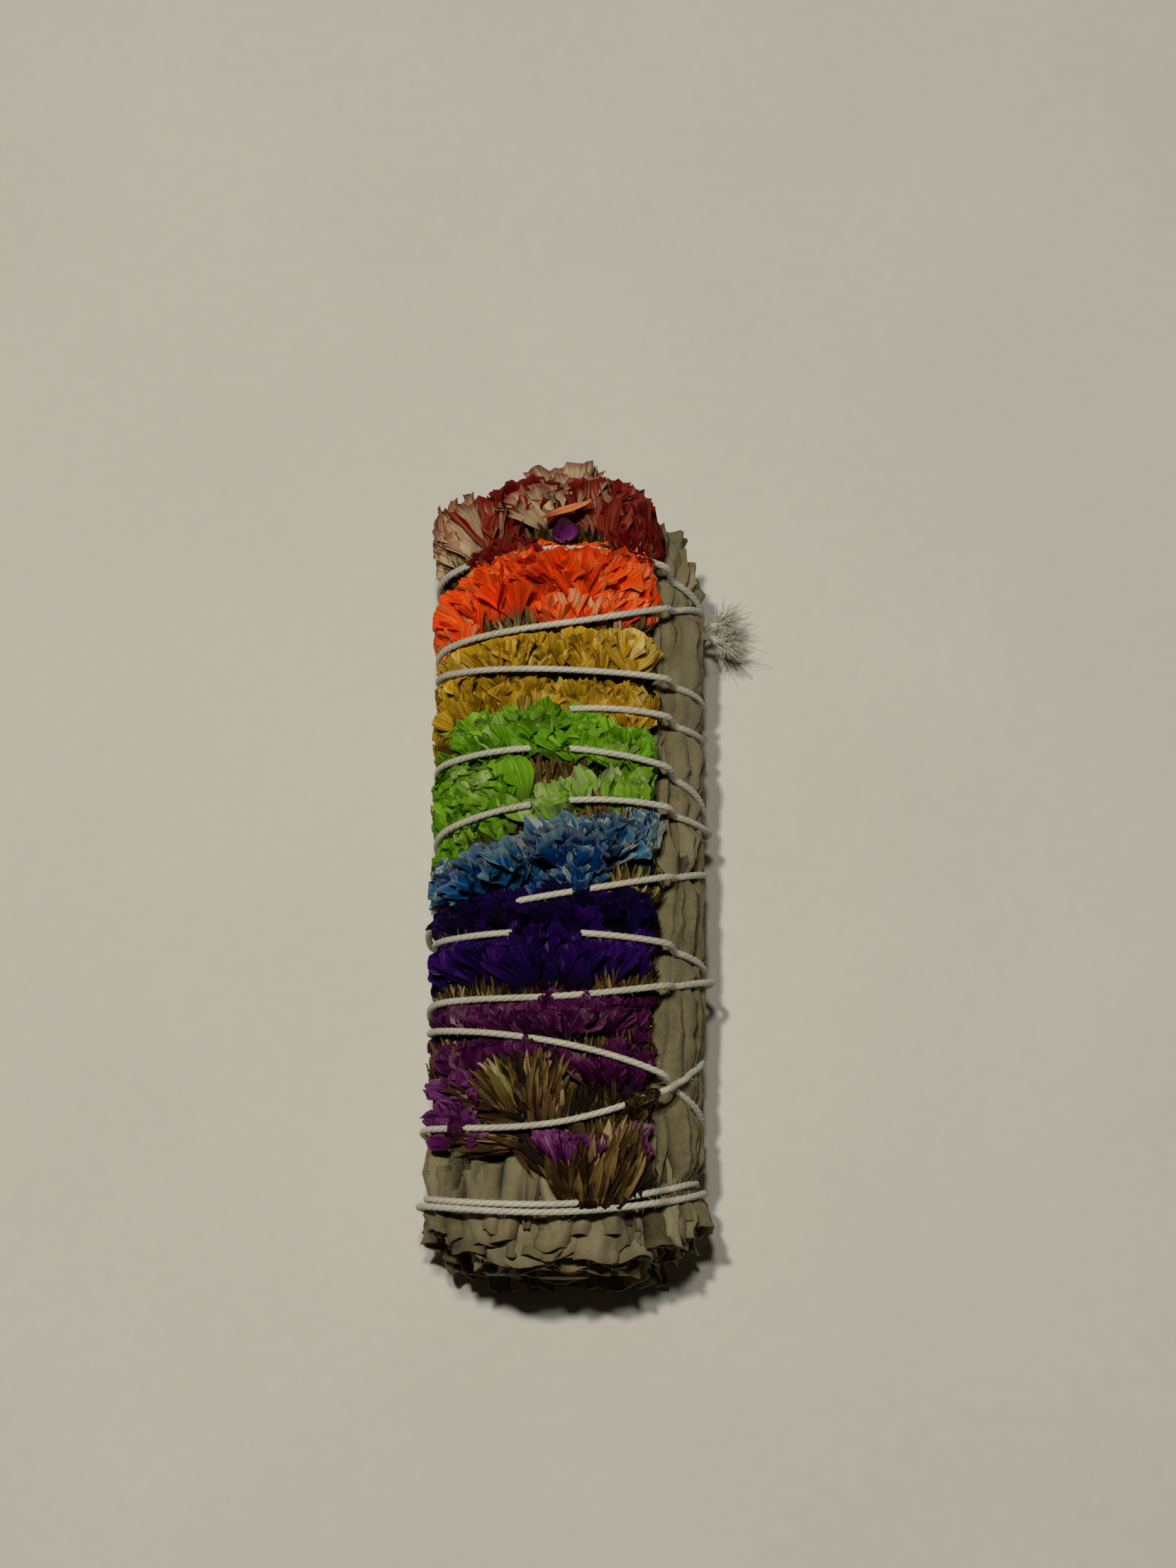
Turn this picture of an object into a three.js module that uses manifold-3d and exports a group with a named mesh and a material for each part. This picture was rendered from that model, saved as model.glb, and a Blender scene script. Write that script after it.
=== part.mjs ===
// A statice smudge stick: six dried white sage sprigs pressed into a bundle, with eight sprays of dyed
// statice laid like shingles along its upper side, all bound by one cotton string that winds down the
// bundle and back up. It lies along Y on its flattened underside, with the red flowers at +Y and the
// cut leaf ends at -Y. Places on the bundle are given by an angle round it in degrees (0 is right,
// 90 is up, 180 is left), a distance y along it, and a height over its oval, all lengths in millimetres.
import * as THREE from "three";
import { mergeVertices } from "three/addons/utils/BufferGeometryUtils.js";
import Module from "manifold-3d";

const wasm = await Module();
wasm.setup();

// The bundle's oval and its ends.
const HALF_WIDTH = 15.5;
const HALF_HEIGHT = 11.5;
const CUT_END_FLARE = 1.7; // how far each side swells at the cut end
const FLARE_FROM_Y = -18;
const FLARE_TO_Y = -46;
const CUT_END_SWAY = -1.7; // how far the cut end lies to the left of the rest
const SWAY_FROM_Y = -8;
const SWAY_TO_Y = -44;
const CUT_END_Y = -53.2;
const TOP_END_Y = 48.5;
const FLATTENED = 0.35; // how much of the oval the flat underside takes away
const CENTRE_Z = HALF_HEIGHT - FLATTENED;
const GAP = 0.3; // clearance between neighbouring pieces
const BEYOND = 160; // larger than the whole stick, for the solids that cut it

// The upper side that carries the flowers, where the leaves lie lower than elsewhere.
const FLOWER_MIDDLE = 117;
const FLOWER_HALF_SPAN = 68;
const FLOWER_FADE = 16;
const LEAF_STAND = 1.0; // how high the leaves outside it stand

// White sage.
const SPRIG_COUNT = 6;
const SPRIG_FIRST_ANGLE = -90;
const STEM_SIDE = 90; // the angle of the sprig that the flowers' stems are pressed into
const CORE_DEPTH = 0.9; // of the pressed inner leaves below the tops of the outer ones
const CORE_TOP_Y = 44.5;
const CORE_CUT_Y = -50.4;
const LEAF_THICKNESS = 1.0;
const LEAF_WIDTH = 7.4;
const LEAF_EDGE_DROP = 0.75;
const LEAF_TIP_DROP = 0.25;
const LEAF_AROUND = 15; // degrees from the middle of a sprig to its leaves on either side
const CUT_TIP_WIDTH = 0.86; // as a share of the leaf's width
const POINTED_TIP_WIDTH = 0.4;
const END_LEAF_THICKNESS = 0.8;
const END_LEAF_DEPTHS = [2.6, 5.4]; // of the torn leaf ends below the oval
const END_LEAF_SPAN = 44; // degrees round the bundle, less on the deeper ones
const END_LEAF_NARROWING = 6;
const TWIG_RADIUS = 1.3;
const TWIG_DEPTH = 8.3;
const TWIG_LENGTH = 4.6;
// Rows of outer leaves: where they are rooted, where their tips lie, and how deep they are sunk.
const CUT_END_LEAVES = [-14, CUT_END_Y + 0.4, 0];
const TOP_END_LEAVES = [TOP_END_Y - 34, TOP_END_Y, 0.1];
const MIDDLE_LEAVES = [24, -26, 0.35];

// Cotton string: [left, crown, right] heights along Y of each pass over the front, in winding order.
const STRING_RADIUS = 0.45;
const STRING_STEP_ANGLE = 30;
const STRING_SIDES = 5;
const GROOVE_SIDES = 4;
const STRING_OVER_FLOWERS = 3.7;
const STRING_OVER_STEMS = 1.1; // near the cut end, where the flowers thin out
const FLOWERS_THIN_FROM_Y = -31;
const FLOWERS_THIN_TO_Y = -43;
const STRING_FADE_LEAD = 3; // degrees inside the flowers' edge where the string starts to come down
const STRING_ON_LEAVES = 0.8;
const STRING_IN_CUT_END = -1.0; // near the cut end, where it bites into the leaves
const BITE_FROM_Y = -30;
const BITE_TO_Y = -40;
const CROSSING_RISE = 0.95;
const CROSSING_FLAT = 1.2;
const CROSSING_REACH = 4;
const DESCENDING_PASSES = [
  [38.3, 40.2, 36.0],
  [26.6, 23.6, 23.3],
  [13.7, 13.0, 8.7],
  [-9.1, -11.2, -12.7],
  [-20.7, -25.6, -32.6],
  [-42.0, -45.2, -40.2],
];
const ASCENDING_PASSES = [
  [-43.2, -46.4, -41.4],
  [-34.4, -35.2, -24.4],
  [-18.2, -19.3, -13.9],
  [-8.7, -5.8, 0.5],
  [3.4, 6.2, 6.4],
  [15.4, 18.4, 18.6],
  [28.4, 30.2, 36.3],
];
const KNOT_ANGLE = -18;
const KNOT_Y = 35.2;
const KNOT_HEIGHT = 0.6;
const KNOT_RADIUS = 1.25;
const TAIL_AIMS = [[0.86, 0.5, -0.08], [0.94, -0.22, -0.26]];
const TAIL_LENGTH = 4.2;
const FRAY = { length: 4, count: 4, width: 0.7, thickness: 0.6, sunk: 0.8 };

// Statice. Each spray holds dyed florets above brown bracts. seam is where the next spray down covers
// the bracts, and brow is where the florets rise over them, both measured on the crown of the bundle.
const SPRAY_BASE = 0.42; // height of the sprays' underside over the leaves
const SEAM_LEAN = 4; // how far a seam runs along Y from the leaves up to SEAM_KNEE
const SEAM_KNEE = 2.5;
const SEAM_TOP = 4.5;
const SPRAY_CEILING = 14;
const RING_HUB = 30; // radius that a spray's ring is turned on before it is bent to the oval
const RING_SEGMENTS = 24;
const PETAL_THICKNESS = 0.6;
const FRILL_ROOT = 1.25; // height of a frill's upper face where it is rooted
const FRILL_MARGIN = GAP / 2 + 0.05; // between its rims and the seams
const FRILL_SPLAY = 5; // how far, in degrees, its pleats splay round the bundle
const FRILL_BEYOND_HEADS = 6; // degrees past the outermost heads
const FRILL_LEFTMOST = 181;
const FLORETS = { length: 6.4, tilt: 10, pleatsPerHead: 4, notch: 0.22, jag: 0.07, ruffle: 0.36 };
const BRACTS = { length: 6.4, tilt: 8, pleatsPerHead: 3, notch: 0, jag: 0.2, ruffle: 0.25 };
const FAN = { length: 6.6, tilt: 45, pleats: 4, spread: 47, jag: 0.1, ruffle: 0.4, cup: 0.16 };
const FANS_PER_SPRAY = 7;
const FAN_LEFTMOST = 139;
const FAN_SUNK = 0.15; // how deep it is rooted in the frill that it stands on
const FRILL_RISE = 7; // degrees that the frill rises to there
const FAN_ALONG = 3.4; // how far along the bundle a fan reaches from its root
const FAN_CLEARANCE = 0.5; // from the middle of the string
const FAN_ROOM = 1.6; // from the middle of the string, beyond which more is no better
const FAN_SHIFTS = [-0.6, 0.4, 1.4, 2.4, 3.4]; // places along the bundle to try, from the heads' line
const STEM_RADIUS = 0.45;
const STEM_LENGTH = 14;
const STEM_HEIGHT = -0.1; // of a stem's middle, pressed into the leaves
const STEM_TOP = { back: 1.2, height: 0.95 }; // back from the seam, inside the bracts
const STEM_BEND_BACK = 4.6;
const SPRAYS = [
  {
    name: "red", petal: 0x8c1512, seam: 37.5, brow: 41.2, top: 62, stemAngle: 96,
    heads: [[134, 44.2, 1.0], [98, 45.4, 1.1], [64, 44.2, 1.0], [113, 41.6, 0.7]],
  },
  {
    name: "orange", petal: 0xe84312, seam: 26, brow: 29.6, stemAngle: 110,
    heads: [[174, 29.4, 0.95], [150, 32.4, 1.0], [116, 33.2, 1.15], [84, 33.6, 1.0], [64, 33.2, 1.0]],
  },
  {
    name: "yellow", petal: 0xc8900a, seam: 16.6, brow: 19.4, stemAngle: 92,
    heads: [[174, 20.6, 1.1], [146, 21.2, 1.0], [118, 21.4, 1.0], [90, 21.8, 0.95], [66, 21.6, 0.95]],
  },
  {
    name: "green", petal: 0x3fae1c, seam: 2.4, brow: 6.0, stemAngle: 106,
    heads: [[170, 6.8, 1.0], [146, 7.6, 1.05], [118, 10.4, 1.1], [94, 11.6, 1.0], [66, 9.6, 1.05]],
  },
  {
    name: "blue", petal: 0x1d62ae, seam: -8.6, brow: -5.4, stemAngle: 90,
    heads: [[166, -4.8, 1.0], [142, -3.8, 1.0], [116, -3.0, 1.05], [90, -2.4, 1.0], [64, -2.0, 1.0]],
  },
  {
    name: "indigo", petal: 0x26106a, seam: -21, brow: -18.8, stemAngle: 104,
    heads: [[172, -17.0, 1.0], [144, -15.8, 1.05], [118, -14.6, 1.05], [90, -14.2, 1.05], [64, -14.0, 1.0]],
  },
  {
    name: "violet", petal: 0x5e1663, seam: -31, brow: -26.6, stemAngle: 88,
    heads: [[170, -25.4, 0.9], [142, -25.2, 0.9], [112, -25.0, 1.0], [84, -25.0, 0.95], [60, -25.6, 0.9]],
  },
  {
    name: "lilac", petal: 0x7a2a86, seam: -44, brow: -39.6, stemAngle: 100,
    heads: [[152, -35.0, 0.85], [128, -37.0, 0.7], [84, -36.6, 0.8], [62, -35.6, 0.85]],
  },
];

const toRadians = THREE.MathUtils.degToRad;
const { smoothstep, lerp, seededRandom } = THREE.MathUtils;

// A number between low and high from the seeded sequence.
function draw(low, high) {
  return lerp(low, high, seededRandom());
}

// How far round the bundle an angle is from the middle of the flowers, from 0 to 180.
function awayFromFlowers(angle) {
  const turned = THREE.MathUtils.euclideanModulo(angle - FLOWER_MIDDLE, 360);
  return Math.min(turned, 360 - turned);
}

// The height that the leaves reach at an angle.
function leafTop(angle) {
  const edge = FLOWER_HALF_SPAN;
  return LEAF_STAND * smoothstep(awayFromFlowers(angle), edge, edge + FLOWER_FADE);
}

// The bundle's half width at y, wider at the cut end.
function halfWidthAt(y) {
  return HALF_WIDTH + CUT_END_FLARE * smoothstep(-y, -FLARE_FROM_Y, -FLARE_TO_Y);
}

// How far the bundle's middle lies to the side at y.
function swayAt(y) {
  return CUT_END_SWAY * smoothstep(-y, -SWAY_FROM_Y, -SWAY_TO_Y);
}

// The bundle's outward direction at an angle.
function outwardAt(angle, y) {
  const turn = toRadians(angle);
  return new THREE.Vector3(Math.cos(turn) / halfWidthAt(y), 0, Math.sin(turn) / HALF_HEIGHT).normalize();
}

// The point at an angle round the bundle, y along it and a height over its oval.
function place(angle, y, height) {
  const turn = toRadians(angle);
  const [aside, up] = [swayAt(y) + halfWidthAt(y) * Math.cos(turn), HALF_HEIGHT * Math.sin(turn)];
  return new THREE.Vector3(aside, y, CENTRE_Z + up).addScaledVector(outwardAt(angle, y), height);
}

// A solid of a closed geometry, with collapsed triangles left out and its faces turned outward.
function solidOf(geometry) {
  const bare = geometry.clone();
  bare.deleteAttribute("normal");
  bare.deleteAttribute("uv");
  const merged = mergeVertices(bare, 1e-4);
  const corners = merged.index.array;
  const kept = [];
  for (let i = 0; i < corners.length; i += 3) {
    const [a, b, c] = [corners[i], corners[i + 1], corners[i + 2]];
    if (a !== b && b !== c && c !== a) kept.push([a, b, c]);
  }
  const vertProperties = new Float32Array(merged.attributes.position.array);
  const made = (triangles) => {
    const triVerts = new Uint32Array(triangles.flat());
    return new wasm.Manifold(new wasm.Mesh({ numProp: 3, vertProperties, triVerts }));
  };
  const solid = made(kept);
  return solid.volume() < 0 ? made(kept.map(([a, b, c]) => [a, c, b])) : solid;
}

// One solid of several that touch.
function fused(solids) {
  return solids.reduce((whole, next) => whole.add(next));
}

// The largest body of a solid, without the scraps that a cut leaves loose.
function mainBody(solid) {
  return solid.decompose().reduce((most, next) => (next.volume() > most.volume() ? next : most));
}

// A thin closed blade. shape(u, v) gives the upper face's point and the direction of its thickness,
// for u from -1 to 1 across and v from 0 at the root to 1 at the tip.
function blade(columns, rows, thickness, shape) {
  const grid = new THREE.PlaneGeometry(2, 1, columns, rows);
  const flat = grid.attributes.position;
  const upper = [];
  const lower = [];
  for (let i = 0; i < flat.count; i += 1) {
    const { point, normal } = shape(flat.getX(i), flat.getY(i) + 0.5);
    upper.push(...point.toArray());
    lower.push(...point.addScaledVector(normal, -thickness).toArray());
  }
  const faces = Array.from(grid.index.array);
  const count = flat.count;
  const triangles = [...faces];
  for (let i = 0; i < faces.length; i += 3) {
    triangles.push(faces[i] + count, faces[i + 2] + count, faces[i + 1] + count);
  }
  const row = columns + 1;
  const rim = [];
  for (let j = 0; j < rows; j += 1) rim.push(j * row);
  for (let i = 0; i < columns; i += 1) rim.push(rows * row + i);
  for (let j = rows; j > 0; j -= 1) rim.push(j * row + columns);
  for (let i = columns; i > 0; i -= 1) rim.push(i);
  rim.forEach((p, i) => {
    const q = rim[(i + 1) % rim.length];
    triangles.push(q, p, p + count, q, p + count, q + count);
  });
  const closed = new THREE.BufferGeometry();
  closed.setAttribute("position", new THREE.BufferAttribute(new Float32Array([...upper, ...lower]), 3));
  closed.setIndex(triangles);
  return solidOf(closed);
}

// A straight round bar between two points, with few sides.
function bar(from, to, radius, sides) {
  const along = to.clone().sub(from);
  const geometry = new THREE.CylinderGeometry(radius, radius, along.length(), sides);
  const upright = new THREE.Vector3(0, 1, 0);
  geometry.applyQuaternion(new THREE.Quaternion().setFromUnitVectors(upright, along.clone().normalize()));
  const middle = from.clone().lerp(to, 0.5);
  return solidOf(geometry.translate(middle.x, middle.y, middle.z));
}

// A flat pointed flake between two points.
function flake(from, to, width, thickness, facing) {
  const along = to.clone().sub(from);
  const direction = along.clone().normalize();
  const side = new THREE.Vector3().crossVectors(facing, direction).normalize();
  const depth = new THREE.Vector3().crossVectors(direction, side);
  const geometry = new THREE.OctahedronGeometry(1);
  geometry.scale(width / 2, along.length() / 2, thickness / 2);
  geometry.applyMatrix4(new THREE.Matrix4().makeBasis(side, direction, depth));
  const middle = from.clone().lerp(to, 0.5);
  return solidOf(geometry.translate(middle.x, middle.y, middle.z));
}

// The height of the string's own line over the oval.
function stringHeight(angle, y) {
  const flowers = smoothstep(y, FLOWERS_THIN_TO_Y, FLOWERS_THIN_FROM_Y);
  const overFlowers = lerp(STRING_OVER_STEMS, STRING_OVER_FLOWERS, flowers);
  const edge = FLOWER_HALF_SPAN - STRING_FADE_LEAD;
  const aside = smoothstep(awayFromFlowers(angle), edge, edge + FLOWER_FADE);
  const overLeaves = lerp(STRING_ON_LEAVES, STRING_IN_CUT_END, smoothstep(-y, -BITE_FROM_Y, -BITE_TO_Y));
  return lerp(overFlowers, leafTop(angle) + overLeaves, aside);
}

// The string's places along Y at every quarter turn, between a first and a last one out of sight.
function quarterTurns(first, passes, last) {
  const marks = [...first];
  passes.forEach((pass, i) => {
    marks.push(...pass);
    if (i < passes.length - 1) marks.push((pass[2] + passes[i + 1][0]) / 2);
  });
  return [...marks, ...last];
}

// The string's y a number of quarter turns along, smooth through the marks.
function alongMarks(marks, turn) {
  const i = Math.min(Math.max(Math.floor(turn), 0), marks.length - 2);
  const t = turn - i;
  const [p0, p1, p2, p3] = [-1, 0, 1, 2].map((k) => marks[Math.min(Math.max(i + k, 0), marks.length - 1)]);
  const bend = (2 * p0 - 5 * p1 + 4 * p2 - p3) * t * t + (3 * p1 - p0 - 3 * p2 + p3) * t * t * t;
  return 0.5 * (2 * p1 + (p2 - p0) * t + bend);
}

// Where one length of string passes an angle, along the bundle.
function passesOf(marks, firstMarkAngle, angle) {
  const turn = THREE.MathUtils.euclideanModulo(firstMarkAngle - angle, 360) / 90;
  const count = Math.floor((marks.length - 1 - turn) / 4) + 1;
  return Array.from({ length: count }, (_, i) => alongMarks(marks, turn + 4 * i));
}

// How much the string that is wound last rises where it crosses over the first one.
function crossingRise(angle, y, marks) {
  const gaps = passesOf(marks, 0, angle).map((pass) => Math.abs(pass - y));
  return CROSSING_RISE * (1 - smoothstep(Math.min(...gaps), CROSSING_FLAT, CROSSING_REACH));
}

// The points of one length of string, wound clockwise from startAngle through the marks.
function stringRoute(marks, firstMarkAngle, startAngle, endAngle, under) {
  const steps = Math.round((startAngle - endAngle) / STRING_STEP_ANGLE);
  return Array.from({ length: steps + 1 }, (_, i) => {
    const angle = lerp(startAngle, endAngle, i / steps);
    const y = alongMarks(marks, (firstMarkAngle - angle) / 90);
    const rise = under ? crossingRise(angle, y, under) : 0;
    const point = place(angle, y, stringHeight(angle, y) + rise);
    point.z = Math.max(point.z, STRING_RADIUS + 0.05 + rise);
    return point;
  });
}

// A path straight from point to point.
class Route extends THREE.Curve {
  constructor(points) {
    super();
    this.points = points;
  }

  getPoint(t, target = new THREE.Vector3()) {
    const along = t * (this.points.length - 1);
    const i = Math.min(Math.max(Math.floor(along), 0), this.points.length - 2);
    return target.lerpVectors(this.points[i], this.points[i + 1], along - i);
  }

  getPointAt(u, target) {
    return this.getPoint(u, target);
  }

  getTangentAt(u, target) {
    return this.getTangent(u, target);
  }
}

// A tube of a section with few sides along a route.
function tube(route, radius, sides) {
  const section = new THREE.Shape();
  for (let i = 0; i < sides; i += 1) {
    const turn = (i * 2 * Math.PI) / sides;
    section[i ? "lineTo" : "moveTo"](radius * Math.cos(turn), radius * Math.sin(turn));
  }
  const along = { extrudePath: new Route(route), steps: route.length - 1, curveSegments: 1 };
  return solidOf(new THREE.ExtrudeGeometry(section, along));
}

// The two lengths of string, down the bundle and back up, both ending at the knot.
const QUARTER = 90;
const descendingMarks = quarterTurns([34.4, 36.4], DESCENDING_PASSES, [-41.8]);
const ascendingMarks = quarterTurns([-41.6], ASCENDING_PASSES, [32]);
const turnsDown = QUARTER * (descendingMarks.length - 1);
const turnsUp = QUARTER * (ascendingMarks.length - 2) - KNOT_ANGLE;
const descendingRoute = stringRoute(descendingMarks, 0, KNOT_ANGLE, -turnsDown);
const ascendingRoute = stringRoute(ascendingMarks, 270, 270, 270 - turnsUp, descendingMarks);

// Where either length of string passes an angle.
function passesAt(angle) {
  return [...passesOf(descendingMarks, 0, angle), ...passesOf(ascendingMarks, 270, angle)];
}

const knotPoint = place(KNOT_ANGLE, KNOT_Y, leafTop(KNOT_ANGLE) + KNOT_HEIGHT);

// The frayed end of a tail: flat fibres that spread out of its last stretch.
function frayedEnd(end, direction) {
  return Array.from({ length: FRAY.count }, (_, i) => {
    const turn = (i / FRAY.count) * 2 * Math.PI;
    const spread = new THREE.Vector3(0, Math.cos(turn), Math.sin(turn)).multiplyScalar(draw(0.25, 0.5));
    const fibre = direction.clone().add(spread).normalize();
    const root = end.clone().addScaledVector(direction, -FRAY.sunk);
    const tip = root.clone().addScaledVector(fibre, FRAY.length * draw(0.8, 1.15));
    return flake(root, tip, FRAY.width, FRAY.thickness, direction.clone().cross(fibre));
  });
}

// The string with its knot and tails, grown by a margin for the groove that it presses.
function stringSolid(margin) {
  const sides = margin ? GROOVE_SIDES : STRING_SIDES;
  const radius = margin ? (STRING_RADIUS + margin) / Math.cos(Math.PI / sides) : STRING_RADIUS;
  const knot = new THREE.IcosahedronGeometry(KNOT_RADIUS + margin, 0);
  const pieces = [
    tube(descendingRoute, radius, sides),
    tube(ascendingRoute, radius, sides),
    solidOf(knot.translate(knotPoint.x, knotPoint.y, knotPoint.z)),
  ];
  seededRandom(5);
  TAIL_AIMS.forEach((aim) => {
    const direction = new THREE.Vector3(...aim).normalize();
    const end = knotPoint.clone().addScaledVector(direction, TAIL_LENGTH);
    pieces.push(bar(knotPoint, end, radius, STRING_SIDES));
    if (margin === 0) pieces.push(...frayedEnd(end, direction));
  });
  return fused(pieces);
}

const stringPiece = stringSolid(0);
const stringGroove = stringSolid(GAP);

// Everything under the surface that the bundle lies on.
const belowSurface = solidOf(new THREE.BoxGeometry(BEYOND, BEYOND, BEYOND).translate(0, 0, -BEYOND / 2));

// The wedge of the bundle that one sprig fills, a little inside its neighbours' edges.
function sprigWedge(angle) {
  const half = 180 / SPRIG_COUNT;
  const apex = new THREE.Vector2(0, CENTRE_Z);
  const bisector = new THREE.Vector2(Math.cos(toRadians(angle)), Math.sin(toRadians(angle)));
  apex.addScaledVector(bisector, GAP / 2 / Math.sin(toRadians(half)));
  const corner = (turn) => [
    apex.x + (BEYOND / 2) * Math.cos(toRadians(turn)),
    apex.y + (BEYOND / 2) * Math.sin(toRadians(turn)),
  ];
  const outline = new THREE.Shape().moveTo(apex.x, apex.y);
  outline.lineTo(...corner(angle - half));
  outline.lineTo(...corner(angle + half));
  const geometry = new THREE.ExtrudeGeometry(outline, { depth: BEYOND, bevelEnabled: false });
  return solidOf(geometry.rotateX(Math.PI / 2).translate(0, BEYOND / 2, 0));
}

// The pressed inner leaves: an oval bar inside the bundle.
function pressedCore() {
  const segments = 24;
  const ring = (y) =>
    Array.from({ length: segments }, (_, i) => {
      const angle = (i * 360) / segments;
      return place(angle, y, leafTop(angle) - CORE_DEPTH).toArray();
    });
  const ys = [CORE_TOP_Y, FLARE_FROM_Y, CORE_CUT_Y];
  const positions = [...ys.flatMap(ring), [0, CORE_TOP_Y, CENTRE_Z], [0, CORE_CUT_Y, CENTRE_Z]];
  const triangles = [];
  const [topMiddle, cutMiddle] = [ys.length * segments, ys.length * segments + 1];
  for (let i = 0; i < segments; i += 1) {
    const next = (i + 1) % segments;
    for (let j = 0; j < ys.length - 1; j += 1) {
      const [a, b] = [j * segments + i, j * segments + next];
      triangles.push(a, b, b + segments, a, b + segments, a + segments);
    }
    const last = (ys.length - 1) * segments;
    triangles.push(topMiddle, next, i, cutMiddle, last + i, last + next);
  }
  const geometry = new THREE.BufferGeometry();
  geometry.setAttribute("position", new THREE.BufferAttribute(new Float32Array(positions.flat()), 3));
  geometry.setIndex(triangles);
  return solidOf(geometry);
}

// A long pressed leaf on the outside of the bundle, from its torn root to its rounded tip.
function outerLeaf(angle, rootY, tipY, width, sunk) {
  const blunt = tipY < CORE_CUT_Y ? CUT_TIP_WIDTH : POINTED_TIP_WIDTH;
  const waves = [draw(0.86, 1.04), draw(0.94, 1.12)];
  const lean = draw(-3, 3);
  const tears = [draw(0.2, 1.8), 0, draw(0.2, 1.8)];
  return blade(2, 2, LEAF_THICKNESS, (u, v) => {
    const outline = v === 1 ? blunt : waves[2 * v];
    const y = lerp(rootY, tipY, v) + (v === 1 ? tears[u + 1] * Math.sign(rootY - tipY) : 0);
    const across = (width / 2) * outline * u;
    const turn = THREE.MathUtils.radToDeg(across / ((HALF_WIDTH + HALF_HEIGHT) / 2));
    const here = angle + lean * (v - 0.5) + turn;
    const height = leafTop(here) - sunk - LEAF_EDGE_DROP * Math.abs(u) - (v === 1 ? LEAF_TIP_DROP : 0);
    return { point: place(here, y, height), normal: outwardAt(here, y) };
  });
}

// A torn leaf end that stands out of the bundle's end, depth below the oval.
function endLeaf(angle, span, depth, rootY, tipY) {
  const jags = Array.from({ length: 3 }, () => draw(-1.1, 0.5));
  const curl = draw(-0.5, 0.5);
  return blade(2, 1, END_LEAF_THICKNESS, (u, v) => {
    const here = angle + (span / 2) * u;
    const jag = jags[u + 1] * Math.sign(tipY - rootY);
    const y = lerp(rootY, tipY + jag, v);
    const height = -depth + curl * u * v + 0.35 * Math.cos(u * 4) * v;
    return { point: place(here, y, height), normal: outwardAt(here, y) };
  });
}

// One sage sprig: its share of the pressed core, its outer leaves, its leaf ends and its twig.
function sageSprig(index, core) {
  const angle = SPRIG_FIRST_ANGLE + (index * 360) / SPRIG_COUNT;
  const wedge = sprigWedge(angle);
  const pieces = [core.intersect(wedge)];
  const underside = index === 0;
  const bare = awayFromFlowers(angle) > FLOWER_HALF_SPAN - LEAF_AROUND;
  const rows = [CUT_END_LEAVES, TOP_END_LEAVES];
  if (bare) rows.push(MIDDLE_LEAVES);
  (underside ? [0] : [-LEAF_AROUND, LEAF_AROUND]).forEach((offset, side) => {
    rows.forEach((row) => {
      const [rootY, tipY, sunk] = row;
      const shift = side ? draw(-6, 0) : draw(0, 5);
      const tipShift = row === MIDDLE_LEAVES ? shift : 0;
      const width = underside ? LEAF_WIDTH * 1.5 : LEAF_WIDTH;
      pieces.push(outerLeaf(angle + offset + draw(-2, 2), rootY + shift, tipY + tipShift, width, sunk));
    });
  });
  END_LEAF_DEPTHS.forEach((depth, level) => {
    const span = END_LEAF_SPAN - END_LEAF_NARROWING * level;
    pieces.push(endLeaf(angle + draw(-4, 4), span, depth, CORE_CUT_Y + 2, CUT_END_Y + 0.9 + 0.5 * level));
    pieces.push(endLeaf(angle + draw(-4, 4), span, depth, CORE_TOP_Y - 2, TOP_END_Y - 1.5 - level));
  });
  const twigEnd = place(angle, CUT_END_Y + 1.4, -TWIG_DEPTH);
  const twigRoot = twigEnd.clone().setY(twigEnd.y + TWIG_LENGTH);
  pieces.push(bar(twigRoot, twigEnd, TWIG_RADIUS, 6));
  const furrows = [belowSurface, stringGroove];
  if (angle === STEM_SIDE) furrows.push(...SPRAYS.map((spray) => stemOf(spray, GAP)));
  return mainBody(furrows.reduce((left, furrow) => left.subtract(furrow), fused(pieces).intersect(wedge)));
}

// The corners of a leaning seam in its section: [height, how far along the bundle from its crest].
const SEAM_CORNERS = [
  [SPRAY_BASE, -SEAM_LEAN],
  [SEAM_KNEE, 0],
  [SEAM_TOP, 2.5],
  [SPRAY_CEILING, 3.2],
];

// How far along the bundle a seam lies at a height.
function seamAt(seam, height) {
  const next = SEAM_CORNERS.findIndex(([corner]) => corner > height);
  const [[h0, y0], [h1, y1]] = [SEAM_CORNERS[Math.max(next - 1, 0)], SEAM_CORNERS[Math.max(next, 1)]];
  return seam + lerp(y0, y1, (height - h0) / (h1 - h0));
}

// A ring round the bundle whose section runs between two leaning seams. It holds what belongs to one
// spray, so that sprays overlap like shingles without touching.
function shingleRing(lowSeam, highSeam) {
  const side = (seam, margin) =>
    SEAM_CORNERS.map(([height, y]) => new THREE.Vector2(RING_HUB + height, seam + y + margin));
  const section = [...side(lowSeam, GAP / 2), ...side(highSeam, -GAP / 2).reverse()];
  const lathe = new THREE.LatheGeometry([...section, section[0]], RING_SEGMENTS);
  const position = lathe.attributes.position;
  for (let i = 0; i < position.count; i += 1) {
    const [x, y, z] = [position.getX(i), position.getY(i), position.getZ(i)];
    const angle = THREE.MathUtils.radToDeg(Math.atan2(z, x));
    position.setXYZ(i, ...place(angle, y, Math.hypot(x, z) - RING_HUB).toArray());
  }
  return solidOf(lathe);
}

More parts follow.
